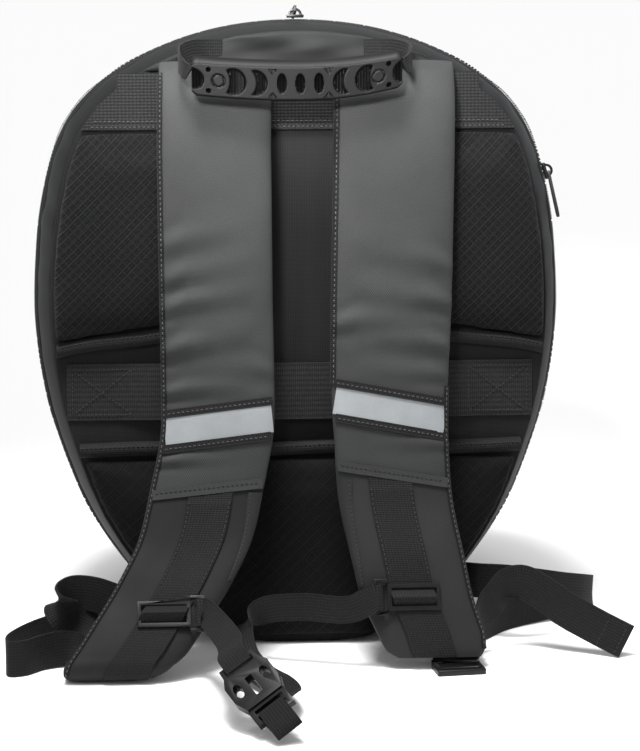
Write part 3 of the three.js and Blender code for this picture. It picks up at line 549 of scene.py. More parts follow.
def rim_at_depth(depth, outset):
    """Points round the rim, an equal distance apart, with their outward directions."""
    loop = [(h, s) for s, h in RIM_HALF] + [(-h, s) for s, h in reversed(RIM_HALF[1:-1])]
    base = depth * math.tan(LEAN) - PANEL_LIFT
    dense = smooth_points([(x, s, 0) for x, s in loop] + [(loop[0][0], loop[0][1], 0)], 1200)
    dense = dense[:, :2]
    before, after = np.roll(dense, 2, 0), np.roll(dense, -2, 0)
    along = after - before
    along /= np.linalg.norm(along, axis=1)[:, None]
    out = np.stack([along[:, 1], -along[:, 0]], 1)
    dense = dense + out * outset
    dense[:, 1] = np.maximum(dense[:, 1], base)
    return dense, along, out


# %% [markdown]
# ## Routes for bands
# A band of webbing is drawn like a route on a map: a few stations, each with its place and the
# direction across the band. A smooth curve is led through the stations, and the band follows it.

# %% Smooth routes
def smooth_points(stations, steps, tangents=False):
    """Centripetal curve through the stations, at equal steps of the station count."""
    rows = np.asarray(stations, float)
    spans = len(rows) - 1
    out = []

    def spot(t):
        t = min(max(t, 0.0), 1.0) * spans
        k = min(int(t), spans - 1)
        w = t - k
        p1, p2 = rows[k], rows[k + 1]
        p0 = rows[k - 1] if k > 0 else 2 * rows[0] - rows[1]
        p3 = rows[k + 2] if k + 2 <= spans else 2 * rows[-1] - rows[-2]
        d0, d1, d2 = (max(np.linalg.norm(a - b), 1e-6) ** 0.5 for a, b in ((p0, p1), (p1, p2), (p2, p3)))
        t1 = ((p1 - p0) / d0 - (p2 - p0) / (d0 + d1) + (p2 - p1) / d1) * d1
        t2 = ((p2 - p1) / d1 - (p3 - p1) / (d1 + d2) + (p3 - p2) / d2) * d1
        c2, c3 = -3 * p1 + 3 * p2 - 2 * t1 - t2, 2 * p1 - 2 * p2 + t1 + t2
        return p1 + t1 * w + c2 * w * w + c3 * w ** 3

    for i in range(steps + 1):
        t = i / steps
        out.append(spot(t))
        if tangents:
            step = spot(t + 1e-4) - spot(t - 1e-4)
            out[-1] = (out[-1], step / np.linalg.norm(step))
    return out if tangents else np.array(out)


def lead_route(stations, steps, square=True):
    """Stations are (place, across, width, thickness) in metres; returns rows of a dict each."""
    points = smooth_points([s[0] for s in stations], steps, tangents=True)
    spans = len(stations) - 1
    rows = []
    for i, (at, along) in enumerate(points):
        t = i / steps * spans
        k = min(int(t), spans - 1)
        w = t - k
        a, b = stations[k], stations[k + 1]
        across = np.array(a[1]) * (1 - w) + np.array(b[1]) * w
        across /= np.linalg.norm(across)
        if square:
            across -= along * (across @ along)
            across /= np.linalg.norm(across)
        face = np.cross(along, across)
        rows.append({
            "at": at, "along": along, "across": across, "face": face / np.linalg.norm(face),
            "width": a[2] * (1 - w) + b[2] * w, "thickness": a[3] * (1 - w) + b[3] * w,
        })
    run = 0.0
    for i, row in enumerate(rows):
        run += np.linalg.norm(row["at"] - rows[i - 1]["at"]) if i else 0.0
        row["run"] = run
    return rows


test_route = lead_route([((x, 0, 0), (0, 0, 1), 0.02, 0.001) for x in (0, 1)], 9)
print("length of a straight test route:", round(test_route[-1]["run"], 3))


# %% [markdown]
# A band starts as a flat grid, because a grid comes with a clean UV map. Its rows are laid on the
# route one after another, and Solidify gives it the thickness of the webbing. The selvedges get one
# narrow column each, so that the band can bulge between them.

# %% Lay a band
def lay_grid(name, columns, rows, place, flat):
    """A grid laid by place(column, row) in the bag and by flat(column, row) in the UV map."""
    pick_only(camera)
    bpy.ops.mesh.primitive_grid_add(x_subdivisions=columns - 1, y_subdivisions=rows - 1, size=2)
    cloth = bpy.context.object
    cloth.name = cloth.data.name = name
    start = points_of(cloth)
    across = np.rint((start[:, 0] + 1) / 2 * (columns - 1)).astype(int)
    along = np.rint((start[:, 1] + 1) / 2 * (rows - 1)).astype(int)
    set_points(cloth, [tuple(place(i, j)) for i, j in zip(across, along)])
    uv = cloth.data.uv_layers.active.data
    for corner in cloth.data.loops:
        uv[corner.index].uv = flat(across[corner.vertex_index], along[corner.vertex_index])
    return cloth


def lay_band(name, route, finish, slot_name, *nodes, thickness=0.0015,
             columns=(-1, -0.86, -0.4, 0, 0.4, 0.86, 1), lift=None):
    def place(i, j):
        row, u = route[j], columns[i]
        up = lift(u, row["run"]) if lift else 0
        return row["at"] + row["across"] * (u * row["width"] / 2) + row["face"] * up

    band = lay_grid(name, len(columns), len(route), place,
                    lambda i, j: (columns[i] * route[j]["width"] / 2, route[j]["run"]))
    apply_modifier(band, "SOLIDIFY", thickness=thickness, offset=0.0, use_even_offset=True)
    smooth_by_angle(band, 40)
    return dress(band, finish, slot_name, *nodes)


# %% [markdown]
# ## Stitches
# A sewn seam is a row of short threads lying on the cloth. One stitch is modelled as a small
# stretched ball, and copies of it are laid along each seam.

# %% Sewing
bpy.ops.mesh.primitive_ico_sphere_add(subdivisions=1, radius=1, location=(0, 0, 0))
stitch = bpy.context.object
stitch.name = "one_stitch"
bpy.ops.transform.resize(value=(0.0012, 0.00042, 0.00034))
settle(stitch)
stitch_spots = {"black": [], "grey": []}


def runs_of(points):
    """Distance along a line of points, at each point."""
    return np.concatenate([[0], np.cumsum(np.linalg.norm(np.diff(points, axis=0), axis=1))])


def sew(points, out, thread="black", pitch=0.0033):
    """Lays stitches along a line of points; out is one direction or one for each point."""
    points = np.asarray([tuple(p) for p in points], float)
    outs = np.asarray(out if np.ndim(out) == 2 else [tuple(out)] * len(points), float)
    runs = runs_of(points)
    for k in range(int(runs[-1] / pitch)):
        at = (k + 0.5) * pitch
        i = min(int(np.searchsorted(runs, at)) - 1, len(points) - 2)
        w = (at - runs[i]) / max(runs[i + 1] - runs[i], 1e-9)
        along = points[i + 1] - points[i]
        along /= np.linalg.norm(along)
        up = outs[i] * (1 - w) + outs[i + 1] * w
        up = up - along * (up @ along)
        up /= np.linalg.norm(up)
        place = points[i] * (1 - w) + points[i + 1] * w
        stitch_spots[thread].append((place, along, np.cross(up, along), up))


def panel_line(rows, per_leg=8):
    """A sewing line on the panel through a few (across, depth, height) places."""
    out = []
    for a, b in zip(rows, rows[1:]):
        start, leg = np.array(a), np.array(b) - np.array(a)
        out += [on_panel(*(start + leg * k / per_leg)) for k in range(per_leg)]
    return out + [on_panel(*rows[-1])]


# %% Zip teeth
ZIP_DEPTH = 33
TOOTH_PITCH = 1.3

rim, rim_along, rim_out = rim_at_depth(ZIP_DEPTH, -0.35)
bpy.ops.mesh.primitive_cube_add(size=1, location=(0, 0, 0))
tooth = bpy.context.object
tooth.name = "one_tooth"
bpy.ops.transform.resize(value=(0.0009, 0.0042, 0.0008))
settle(tooth)
apply_modifier(tooth, "BEVEL", width=0.00025, segments=1)
rim_runs = runs_of(rim)
spots = []
for at in np.arange(0, rim_runs[-1], TOOTH_PITCH):
    i = min(int(np.searchsorted(rim_runs, at)), len(rim) - 1)
    x, s = rim[i]
    along = turn_on_panel(rim_along[i][0], 0, rim_along[i][1]).normalized()
    out = turn_on_panel(rim_out[i][0], 0, rim_out[i][1]).normalized()
    under_the_base = s < 4 and abs(x) < 100
    if under_the_base:
        continue
    side = 0.35 if len(spots) % 2 else -0.35
    spots.append((on_panel(x, ZIP_DEPTH + side, s), along, out.cross(along), out))
teeth = lay_copies("zip_teeth", tooth, spots)
dress(teeth, pull_rubber, "zip")
bpy.data.objects.remove(tooth)
print("zip teeth:", len(spots))

# %% [markdown]
# ## The back panel
# Behind the pads lies a flat board in plain ribbed cloth. Above it are a wrinkled yoke and a wide
# band of webbing, both sewn into the seam. The band is sewn along its lower edge by two rows.

# %% Board, yoke and wide band
board = copy_solid("back_panel", "channel_board")
apply_modifier(board, "BEVEL", width=0.0008, segments=2, limit_method="ANGLE")
smooth_by_angle(board)
dress(board, channel_cloth, "mesh", "back_panel")


def yoke_ripple(x, z):
    sag = np.sin(x * 105 + np.sin(z * 260) * 1.3) * 0.0007
    drape = np.sin(x * 60 + z * 210) * 0.0013
    return sag + drape + np.sin(x * 190 - z * 90) * 0.0003 + 0.0007


yoke = copy_solid("top_yoke", "wrinkled_yoke")
apply_modifier(yoke, "REMESH", mode="VOXEL", voxel_size=0.0011)
soften(yoke, 4)
places = points_of(yoke)
front_side = np.clip(normals_of(yoke) @ np.array(PANEL_OUT), 0, 1) ** 2
set_points(yoke, places + np.outer(front_side * yoke_ripple(places[:, 0], places[:, 2]), PANEL_OUT))
all_smooth(yoke)
dress(yoke, yoke_twill, "twill", "top_yoke")


def seam_half(height):
    """Half width of the panel's seam at a height."""
    rows = RIM_HALF[:22]
    heights = [3.2 + s * 0.972 for s, _ in rows]
    return float(np.interp(height, heights, [h * 0.934 for _, h in rows]))


band_rows = [
    ((*on_panel(0, -4.4, s),), (1, 0, 0), (seam_half(s) - 1.2) * 0.002, 0.0018)
    for s in np.linspace(363.4, 403.6, 24)
]
lay_band("wide_band", lead_route(band_rows, 46), wide_webbing, "webbing", "top_webbing",
         thickness=0.0019, columns=tuple(np.linspace(-1, 1, 41)))
for height in (365.6, 369.6):
    half = seam_half(height) - 6
    sew(panel_line([(-half, -5.7, height), (half, -5.7, height)], 30), PANEL_OUT, "grey")

# %% [markdown]
# ## Quilted pads
# Each pad is foam under a knitted mesh, sewn down round its edge. The solid gives its size. A
# remeshed copy is blown up by a short cloth simulation, as air would fill it: points near the board
# stay put and no point may wander further than a cap, so the pad swells between its sewn edges.

# %% Puff a pad
def puff(node, name, cap=0.0035, cell=0.004, pressure=4.0, held_depth=6.5):
    pad = copy_solid(node, name)
    apply_modifier(pad, "REMESH", mode="VOXEL", voxel_size=cell)
    start = points_of(pad) - normals_of(pad) * 0.0006
    set_points(pad, start)
    depth = (start - np.array(on_panel(0, 0, 0))) @ np.array(PANEL_OUT)
    held = pad.vertex_groups.new(name="sewn_down")
    held.add(np.nonzero(depth < held_depth / 1000)[0].tolist(), 1.0, "REPLACE")
    pick_only(pad)
    cloth = pad.modifiers.new("Cloth", "CLOTH")
    cloth.settings.vertex_group_mass = "sewn_down"
    cloth.settings.use_pressure = True
    cloth.settings.uniform_pressure_force = pressure
    cloth.settings.effector_weights.gravity = 0
    cloth.settings.quality = 4
    cloth.settings.tension_stiffness = 20
    cloth.collision_settings.use_collision = False
    scene = bpy.context.scene
    scene.frame_start, scene.frame_end = 1, 20
    for step in range(1, 21):
        scene.frame_set(step)
    swollen = pad.evaluated_get(bpy.context.evaluated_depsgraph_get())
    end = np.empty(len(swollen.data.vertices) * 3)
    swollen.data.vertices.foreach_get("co", end)
    end = end.reshape(-1, 3)
    pad.modifiers.clear()
    scene.frame_set(1)
    moved = end - start
    size = np.linalg.norm(moved, axis=1, keepdims=True)
    moved *= np.minimum(1, cap / np.maximum(size, 1e-9))
    set_points(pad, start + moved)
    pad.vertex_groups.clear()
    print(name, "swelled by up to", round(float(np.minimum(size, cap).max()) * 1000, 1), "mm")
    soften(pad, 3)
    apply_modifier(pad, "SUBSURF", levels=1, render_levels=1)
    all_smooth(pad)
    return pad


def dent(pad, hollows):
    """Presses soft hollows and creases into a pad: (x, z, rx, rz, depth) in millimetres."""
    places = points_of(pad)
    x, z = places[:, 0] * 1000, places[:, 2] * 1000
    facing = np.clip(normals_of(pad) @ np.array(PANEL_OUT), 0, 1)
    push = np.zeros(len(places))
    for cx, cz, rx, rz, deep in hollows:
        push += deep / 1000 * np.exp(-((x - cx) / rx) ** 2 - ((z - cz) / rz) ** 2)
    set_points(pad, places - np.outer(push * facing, PANEL_OUT))


for side, word in ((-1, "left"), (1, "right")):
    pad = puff("upper_pad_" + word, "quilted_pad_" + word)
    dent(pad, [(side * 172, 350, 14, 22, 1.6), (side * 150, 228, 40, 5, 1.2),
               (side * 110, 352, 40, 8, 1.5)])
    dress(pad, upper_mesh, "mesh", "upper_pad_" + word)

lower = puff("lower_pad", "quilted_pad_lower")
dent(lower, [(-110, 118, 30, 8, 1.5), (110, 118, 30, 8, 1.5), (0, 118, 40, 6, 1.5)])
dress(lower, lower_mesh, "mesh", "lower_pad")


# %% [markdown]
# ## Bound edges
# The pads end in folded bindings. A binding is a tape wrapped over an edge: here a band is bent
# over a half round, so that its ribs run along the edge, with one row of stitches near the fold.

# %% Bindings
def bind(node, rows, height=10, deep=8.6):
    """A tape bent over an edge on the panel; rows are (across, height) places of the edge."""
    columns = 9

    def place(i, j):
        bend = math.pi * i / (columns - 1)
        x, s = rows[j]
        return on_panel(x, -3.4 - deep * math.sin(bend) ** 0.6, s - height / 2 * math.cos(bend))

    tape = lay_grid(node + "_tape", columns, len(rows), place,
                    lambda i, j: (i / columns * height * 0.002, (rows[j][0] - rows[0][0]) / 1000))
    face_outwards(tape)
    apply_modifier(tape, "SOLIDIFY", thickness=0.001, offset=-1.0)
    smooth_by_angle(tape, 50)
    dress(tape, edge_tape, "binding", node)
    sew([on_panel(x, -12.0, s + 2.4) for x, s in rows], PANEL_OUT)


CHANNEL_HALF = 27
for side, word in ((-1, "left"), (1, "right")):
    inner, outer = side * CHANNEL_HALF, side * (seam_half(213) - 2.5)
    bind("upper_binding_" + word, [
        (inner + (outer - inner) * t, 230.5 - 23 * t + 1.2 * math.sin(t * 9)) for t in np.linspace(0, 1, 40)
    ])
span = seam_half(138) - 2.5
bind("lower_binding", [(span * t, 137.3 + 0.8 * math.sin(t * 7)) for t in np.linspace(-1, 1, 70)])

# %% [markdown]
# ## Luggage strap
# A wide webbing crosses the panel, so that the bag can be slid over the handle of a trolley. It
# is sewn down at both ends with a box and a cross, and bows off the board in between.

# %% Luggage strap
UP_PANEL = tuple(turn_on_panel(0, 0, 1))
LUGGAGE_HEIGHT = 178.5
luggage_stations = [
    (tuple(on_panel(x, depth, LUGGAGE_HEIGHT)), UP_PANEL, 0.04, 0.0015)
    for x, depth in ((-166, -4.05), (-132, -4.05), (-112, -5.9), (-70, -10.5), (0, -12),
                     (70, -10.5), (112, -5.9), (132, -4.05), (166, -4.05))
]
lay_band("luggage_webbing_band", lead_route(luggage_stations, 120), luggage_webbing,
         "webbing", "luggage_strap",
         columns=(-1, -0.9, -0.6, -0.3, 0, 0.3, 0.6, 0.9, 1),
         lift=lambda u, run: 0.0002 * math.sin(run * 170 + u * 2))
for side in (-1, 1):
    low_in, low_out, high_out, high_in = [(side * x, -5.6, LUGGAGE_HEIGHT + rise) for x, rise in (
        (120, -16), (162, -16), (162, 16), (120, 16))]
    for a, b in ((low_in, low_out), (low_out, high_out), (high_out, high_in), (high_in, low_in),
                 (low_in, high_out), (high_in, low_out)):
        sew(panel_line([a, b]), PANEL_OUT, pitch=0.003)

# %% [markdown]
# ## Shoulder straps
# A shoulder strap is a long foam pad in coated twill. Its stations repeat those of the solid. The
# pad starts as a tube-like grid round a flat oval section, so that the twill's yarn can follow the
# strap, and it is closed at both ends. The cloth puckers where the strap bends.

# %% Strap stations
LEFT_STRAP = [
    (-59.5, 26.5, 412, 78, 5), (-59.5, 17, 404, 78.5, 8), (-60, 6, 387, 78.5, 11),
    (-60.6, -4, 354, 78.5, 12), (-60.6, -10, 320, 78.5, 12), (-60.4, -20, 251, 78, 12),
    (-60, -32, 182.5, 78, 12), (-61, -37, 158, 77.5, 12), (-67.5, -44, 126, 78, 12),
    (-77, -57, 89, 78, 12), (-91, -71, 63, 78, 12), (-108.5, -86, 38, 77, 11),
    (-124, -98.5, 18, 76, 10), (-132, -101.5, 10.5, 71, 10), (-137, -97, 6.3, 62, 10),
    (-139, -86, 5.7, 58, 10), (-139.5, -71, 5.4, 56, 9),
]
RIGHT_STRAP = [
    (66.5, 26.5, 412, 84, 5), (66.4, 17, 404, 84, 8), (66, 6, 387, 84, 11), (65, -4, 354, 84, 12),
    (64, -10, 319, 84, 12), (62, -20, 250, 84, 12), (59.5, -32, 181, 81, 12), (60, -37, 153, 79, 12),
    (62.4, -45, 112, 79, 12), (70, -60, 73, 78, 12), (76, -68, 46, 77, 12), (84.6, -75, 24, 74, 11),
    (88, -78, 13, 69, 9.5), (90.5, -79, 7.9, 58, 8),
]


def strap_route(stations, steps):
    return lead_route([
        (tuple(on_floor(x, y, z)), (1, 0, 0), width / 1000, thick / 1000)
        for x, y, z, width, thick in stations
    ], steps, square=False)


left_strap = strap_route(LEFT_STRAP, 300)
right_strap = strap_route(RIGHT_STRAP, 270)
print("strap lengths:", [round(r[-1]["run"], 3) for r in (left_strap, right_strap)])

# %% Padded strap
SECTION = 44


def strap_section(bend):
    """A flat oval: across from -1 to 1 and up from -1 to 1, going round."""
    c, s = math.cos(bend), math.sin(bend)
    return (math.copysign(abs(c) ** 0.32, c), math.copysign(abs(s) ** 0.55, s))


def padded_strap(name, route, rumple, finish, slot_name, node):
    def place(i, j):
        row = route[j]
        u, v = strap_section(2 * math.pi * (i % SECTION) / SECTION)
        up = v * row["thickness"] / 2 + (rumple(u, row["run"]) * v ** 0.5 if v > 0 else 0)
        return row["at"] + row["across"] * (u * row["width"] / 2) + row["face"] * up

    def flat(i, j):
        u, _ = strap_section(2 * math.pi * (i % SECTION) / SECTION)
        return (u * route[j]["width"] / 2, route[j]["run"])

    strap = lay_grid(name, SECTION + 1, len(route), place, flat)
    edit_all(strap)
    bpy.ops.mesh.remove_doubles(threshold=0.00001)
    bpy.ops.mesh.fill_holes(sides=0)
    leave_edit()
    face_outwards(strap)
    smooth_by_angle(strap, 60)
    dress(strap, finish, slot_name, node)
    return strap


def crest(u, run, at, high, wide=0.0055, rise=0.026, reach=0.8, edge=-1):
    """One fold: it starts at an edge of the strap, rises slantwise across it and dies out."""
    share = (1 - edge * u) / 2
    if share >= reach:
        return 0.0
    d = (run - at + rise * share) / (wide * (0.7 + 1.1 * share))
    shape = math.exp(-d * d) - 0.45 * math.exp(-((abs(d) - 1.6) / 0.8) ** 2)
    return high * (1 - (share / reach) ** 2) * shape


# Each fold: distance along, height and width, then its rise, its reach and the edge it starts from
LEFT_FOLDS = [
    (0.158, 0.0026, 0.0066), (0.178, 0.0033, 0.0064), (0.208, 0.0042, 0.0070),
    (0.236, 0.0028, 0.0052, 0.014, 0.7), (0.284, 0.0022, 0.0045, 0.008, 0.45), (0.134, 0.0020, 0.0075),
    (0.222, 0.0016, 0.007, 0.02, 0.9, 1),
]
RIGHT_FOLDS = [
    (0.150, 0.0022, 0.008, 0.03, 0.9, 1), (0.176, 0.0032, 0.0068, 0.024, 0.85, 1),
    (0.206, 0.0030, 0.0062, 0.02, 0.8, 1), (0.190, 0.0026, 0.007, 0.02, 0.6),
    (0.226, 0.0018, 0.005, 0.012, 0.6, 1), (0.274, 0.0015, 0.0048, 0.008, 0.5, 1),
]


def left_rumple(u, run):
    pinch = math.exp(-((run - 0.4) / 0.05) ** 2) * 0.0005 * math.sin(run * 120 - u * 3)
    folds = sum(crest(u, run, *fold) for fold in LEFT_FOLDS)
    return folds + pinch + 0.0006 * (1 - u * u) + 0.0005 * math.sin(run * 48 + u * 1.5)


def right_rumple(u, run):
    pinch = math.exp(-((run - 0.37) / 0.05) ** 2) * 0.0004 * math.sin(run * 130 + u * 3)
    folds = sum(crest(u, run, *fold) for fold in RIGHT_FOLDS)
    return folds + pinch + 0.0006 * (1 - u * u) + 0.0005 * math.sin(run * 41 - u * 1.2)


padded_strap("padded_strap_left", left_strap, left_rumple, left_twill, "twill", "shoulder_strap_left")
padded_strap("padded_strap_right", right_strap, right_rumple, right_twill, "twill", "shoulder_strap_right")


# %% [markdown]
# ## Work on the strap's face
# The tapes, the reflective strips and the webbing all lie on the strap's face. One tool finds the
# place on the face at a share across and a distance along, with a small lift.

# %% Places on a strap
TAPE_REACH = 0.955
SEAM_REACH = 0.93


def strap_row(route, run):
    runs = [row["run"] for row in route]
    i = min(max(int(np.searchsorted(runs, run)) - 1, 0), len(route) - 2)
    a, b = route[i], route[i + 1]
    w = (run - a["run"]) / (b["run"] - a["run"])
    return {key: a[key] * (1 - w) + b[key] * w for key in a}


def run_at(route, height):
    """Distance along the strap where it crosses a height in millimetres."""
    for a, b in zip(route, route[1:]):
        if a["at"][2] >= height / 1000 > b["at"][2]:
            w = (a["at"][2] - height / 1000) / (a["at"][2] - b["at"][2])
            return a["run"] * (1 - w) + b["run"] * w
    return route[-1]["run"]


def rumple_of(route):
    return left_rumple if route is left_strap else right_rumple


def on_strap(route, u, run, lift):
    row = strap_row(route, run)
    rise = max(1 - abs(u) ** 6.25, 0.0) ** 0.275
    rumple = rumple_of(route)
    up = rise * row["thickness"] / 2 + rumple(u, run) * rise ** 0.5 + lift
    return row["at"] + row["across"] * (u * row["width"] / 2) + row["face"] * up


def tape_across(name, route, run, slant, wide, lift, finish, slot_name, *nodes, thickness=0.0006):
    """A tape sewn across the strap's face, running from edge to edge."""
    rows = []
    for u in np.linspace(-TAPE_REACH, TAPE_REACH, 41):
        at = run + slant * u
        along = tuple(strap_row(route, at)["along"])
        rows.append((tuple(on_strap(route, u, at, lift)), along, wide, thickness))
    lay_band(name, lead_route(rows, 60), finish, slot_name, *nodes, thickness=thickness,
             columns=(-1, -0.9, -0.5, 0, 0.5, 0.9, 1))


def sew_across(route, run, slant, lift, thread="black"):
    us = np.linspace(-SEAM_REACH, SEAM_REACH, 30)
    sew([on_strap(route, u, run + slant * u, lift) for u in us],
        [tuple(strap_row(route, run + slant * u)["face"]) for u in us], thread)


# %% Reflective strips and hems
STRIP_TALL = 19
for word, route, top, slant, hem in (
        ("left", left_strap, 175, -0.0045, 121.5), ("right", right_strap, 184, 0.0075, 130)):
    start, end, seam = [run_at(route, height) for height in (top, top - STRIP_TALL, hem)]
    tape_across("reflective_tape_" + word, route, (start + end) / 2, slant, end - start, 0.0005,
                reflective_tape, "reflective", "reflective_strip_" + word)
    for at, wide in ((start - 0.0024, 0.0058), (end + 0.0028, 0.0062)):
        tape_across("black_tape_%s_%d" % (word, round(at * 1000)), route, at, slant, wide, 0.0011,
                    edge_tape, "binding", thickness=0.0008)
        sew_across(route, at, slant, 0.0016, "grey")
    tape_across("hem_" + word, route, seam, slant * 0.9, 0.007, 0.0009, left_twill, "twill", thickness=0.0012)
    sew_across(route, seam - 0.001, slant * 0.9, 0.0019)

# %% [markdown]
# ## Strap edges
# A woven tape is folded over one edge of each strap, and its stitches show on the face. The other
# edges are turned in and top-stitched.

# %% Edge tapes
TAPE_WRAP = 0.66


def on_edge(route, side, bend, run, push):
    """A place on the strap's rounded edge, pushed outwards, and the direction outwards."""
    row = strap_row(route, run)
    u, v = strap_section(bend)
    rumple = rumple_of(route)
    up = v * row["thickness"] / 2 + (rumple(side * u, run) * v ** 0.5 if v > 0 else 0)
    outer = row["across"] * side
    out = outer * math.cos(bend * 1.5) + row["face"] * math.sin(bend * 1.5)
    return row["at"] + outer * u * row["width"] / 2 + row["face"] * up + out * push, out


def edge_tape_on(name, route, side, first, last):
    """A tape folded over a strap's edge, from one distance along to another, sewn near its rim."""
    runs = np.linspace(first, last, int((last - first) / 0.003))
    columns = 9

    def place(i, j):
        bend = TAPE_WRAP * (2 * i / (columns - 1) - 1)
        return on_edge(route, side, bend, runs[j], 0.0006 + 0.0001 * math.sin(runs[j] * 900))[0]

    tape = lay_grid(name, columns, len(runs), place, lambda i, j: (i * 0.0015, runs[j]))
    face_outwards(tape)
    apply_modifier(tape, "SOLIDIFY", thickness=0.0008, offset=0.0)
    smooth_by_angle(tape, 60)
    dress(tape, edge_tape, "binding")
    seam = [on_edge(route, side, TAPE_WRAP * 0.8, run, 0.0012) for run in runs]
    sew([at for at, _ in seam], [tuple(out) for _, out in seam], "grey", 0.0036)


edge_tape_on("edge_tape_left", left_strap, -1, 0.012, left_strap[-1]["run"] - 0.03)
edge_tape_on("edge_tape_right", right_strap, -1, 0.012, run_at(right_strap, 192))
edge_tape_on("edge_tape_right_low", right_strap, 1, run_at(right_strap, 190),
             right_strap[-1]["run"] - 0.006)


def folded_edge(name, route, side, top, bottom, wide, narrow):
    """The cloth turned over an edge between two heights; it gets narrower towards the strap's end."""
    runs = np.linspace(run_at(route, top), run_at(route, bottom), 40)
    columns = 6

    def place(i, j):
        row = strap_row(route, runs[j])
        reach = (wide + (narrow - wide) * j / (len(runs) - 1)) / (row["width"] / 2)
        u = side * (0.985 - reach * i / (columns - 1))
        return on_strap(route, u, runs[j], 0.0004 + 0.0005 * math.sin(math.pi * i / (columns - 1)) ** 0.5)

    flap = lay_grid(name, columns, len(runs), place, lambda i, j: (i * 0.002, runs[j]))
    apply_modifier(flap, "SOLIDIFY", thickness=0.0009, offset=0.0)
    smooth_by_angle(flap, 50)
    dress(flap, fold_twill, "twill")
    outs = [strap_row(route, run)["face"] for run in runs]
    sew([place(columns - 2, j) + out * 0.0006 for j, out in enumerate(outs)],
        [tuple(out) for out in outs], pitch=0.003)


folded_edge("folded_edge_left", left_strap, 1, 119, 62, 0.010, 0.0025)
folded_edge("folded_edge_right", right_strap, -1, 127, 55, 0.010, 0.003)


# %% [markdown]
# ## Webbing on the straps
# A webbing is sewn flat on each strap and runs over the middle bar of its adjuster. At the bar the
# band lifts off the pad in a short hump.

# %% Strap webbing and adjusters
ADJUSTER_AT = {"left": 41, "right": 48}
WEBBING_SPAN = {"left": (121, 8.5), "right": (129, 9)}


def web_offset(word, height):
    return (2.5 + (120 - height) * 0.045) if word == "left" else -2.5


for word, route in (("left", left_strap), ("right", right_strap)):
    top, low = WEBBING_SPAN[word]
    heights = np.linspace(top, low, 60)
    rows, outs = [], []
    for height in heights:
        run = run_at(route, height)
        row = strap_row(route, run)
        hump = 0.0058 * math.exp(-((height - ADJUSTER_AT[word]) / 3.2) ** 2)
        tuck = 0.0009 * max(0.0, 1 - (top - height) / 9) ** 0.5
        at = on_strap(route, web_offset(word, height) / 500 / row["width"], run, 0)
        at = at + row["face"] * (0.00095 + hump - tuck)
        rows.append((tuple(at), (1, 0, 0), 0.0305, 0.0015))
        outs.append(tuple(row["face"]))
    lay_band("webbing_on_strap_" + word, lead_route(rows, 118, square=False), strap_webbing,
             "webbing", "strap_webbing_" + word)
    for side in (-0.0139, 0.0139):
        sew([Vector(row[0]) + Vector((side, 0, 0)) + Vector(out) * 0.001
             for row, out in zip(rows[4:34], outs[4:34])], outs[4:34])


# %% [markdown]
# ## Hardware
# Adjusters, ladder locks, buckle and sliders are moulded or cast. Their solids have the right holes,
# so each one is copied and welded, its flat faces are cleaned, and its sharp edges are rounded.

# %% Rounded hardware
def round_off(node, name, finish, slot_name, radius, body="bag"):
    piece = copy_solid(node, name)
    edit_all(piece)
    bpy.ops.mesh.dissolve_limited(angle_limit=math.radians(2))
    leave_edit()
    apply_modifier(piece, "BEVEL", width=radius, segments=3, limit_method="ANGLE",
                   angle_limit=math.radians(30), use_clamp_overlap=True)
    smooth_by_angle(piece, 40)
    return dress(piece, finish, slot_name, node, body=body)


for word in ("left", "right"):
    round_off("adjuster_" + word, "strap_adjuster_" + word, moulded_nylon, "plastic", 0.0007)
    round_off("ladder_lock_" + word, "end_lock_" + word, moulded_nylon, "plastic", 0.0009)
round_off("buckle_socket", "buckle_body", moulded_nylon, "plastic", 0.0012)
round_off("buckle_plug", "buckle_tongue", moulded_nylon, "plastic", 0.0010)
for word, body in (("top", "top_pull"), ("side", "side_pull")):
    round_off("zip_slider_" + word, "slider_" + word, lacquer, "metal", 0.0004)
    round_off("zip_pull_" + word, "pull_" + word, pull_rubber, "zip", 0.0005, body=body)


# %% [markdown]
# ## Carry grip
# The grip is moulded rubber with pockets in its front: three lenses in the middle, two crescents on
# each side, a ring near each end and small round holes. Its front is a relief: a grid goes once
# round the section, and the part of it that faces forwards is pressed in where a pocket lies. Fine
# ribs stand on the floor of the pockets, and an attribute tells the finish where the pockets lie,
# so that the finish paints shade into them.

# %% Carry grip
CHAMFER = 5
FRONT_ROWS, BACK_ROWS, GRIP_COLUMNS = 60, 10, 290
GRIP_LEFT, GRIP_LONG = -76.5, 145.5
FRONT_FROM_PANEL = 0.0475


def grip_edges(x):
    """Lower and upper edge of the grip at a place across, in millimetres."""
    t = (x + 2) / 72
    end = max(0.0, -72 - x, x - 64.5) / 5
    low = 383 + t * t * (4.0 if t < 0 else 9.5) + 3.5 * end ** 2
    return low, 411.2 + t * t * (3.4 if t < 0 else 7.6) - 2.0 * end ** 2


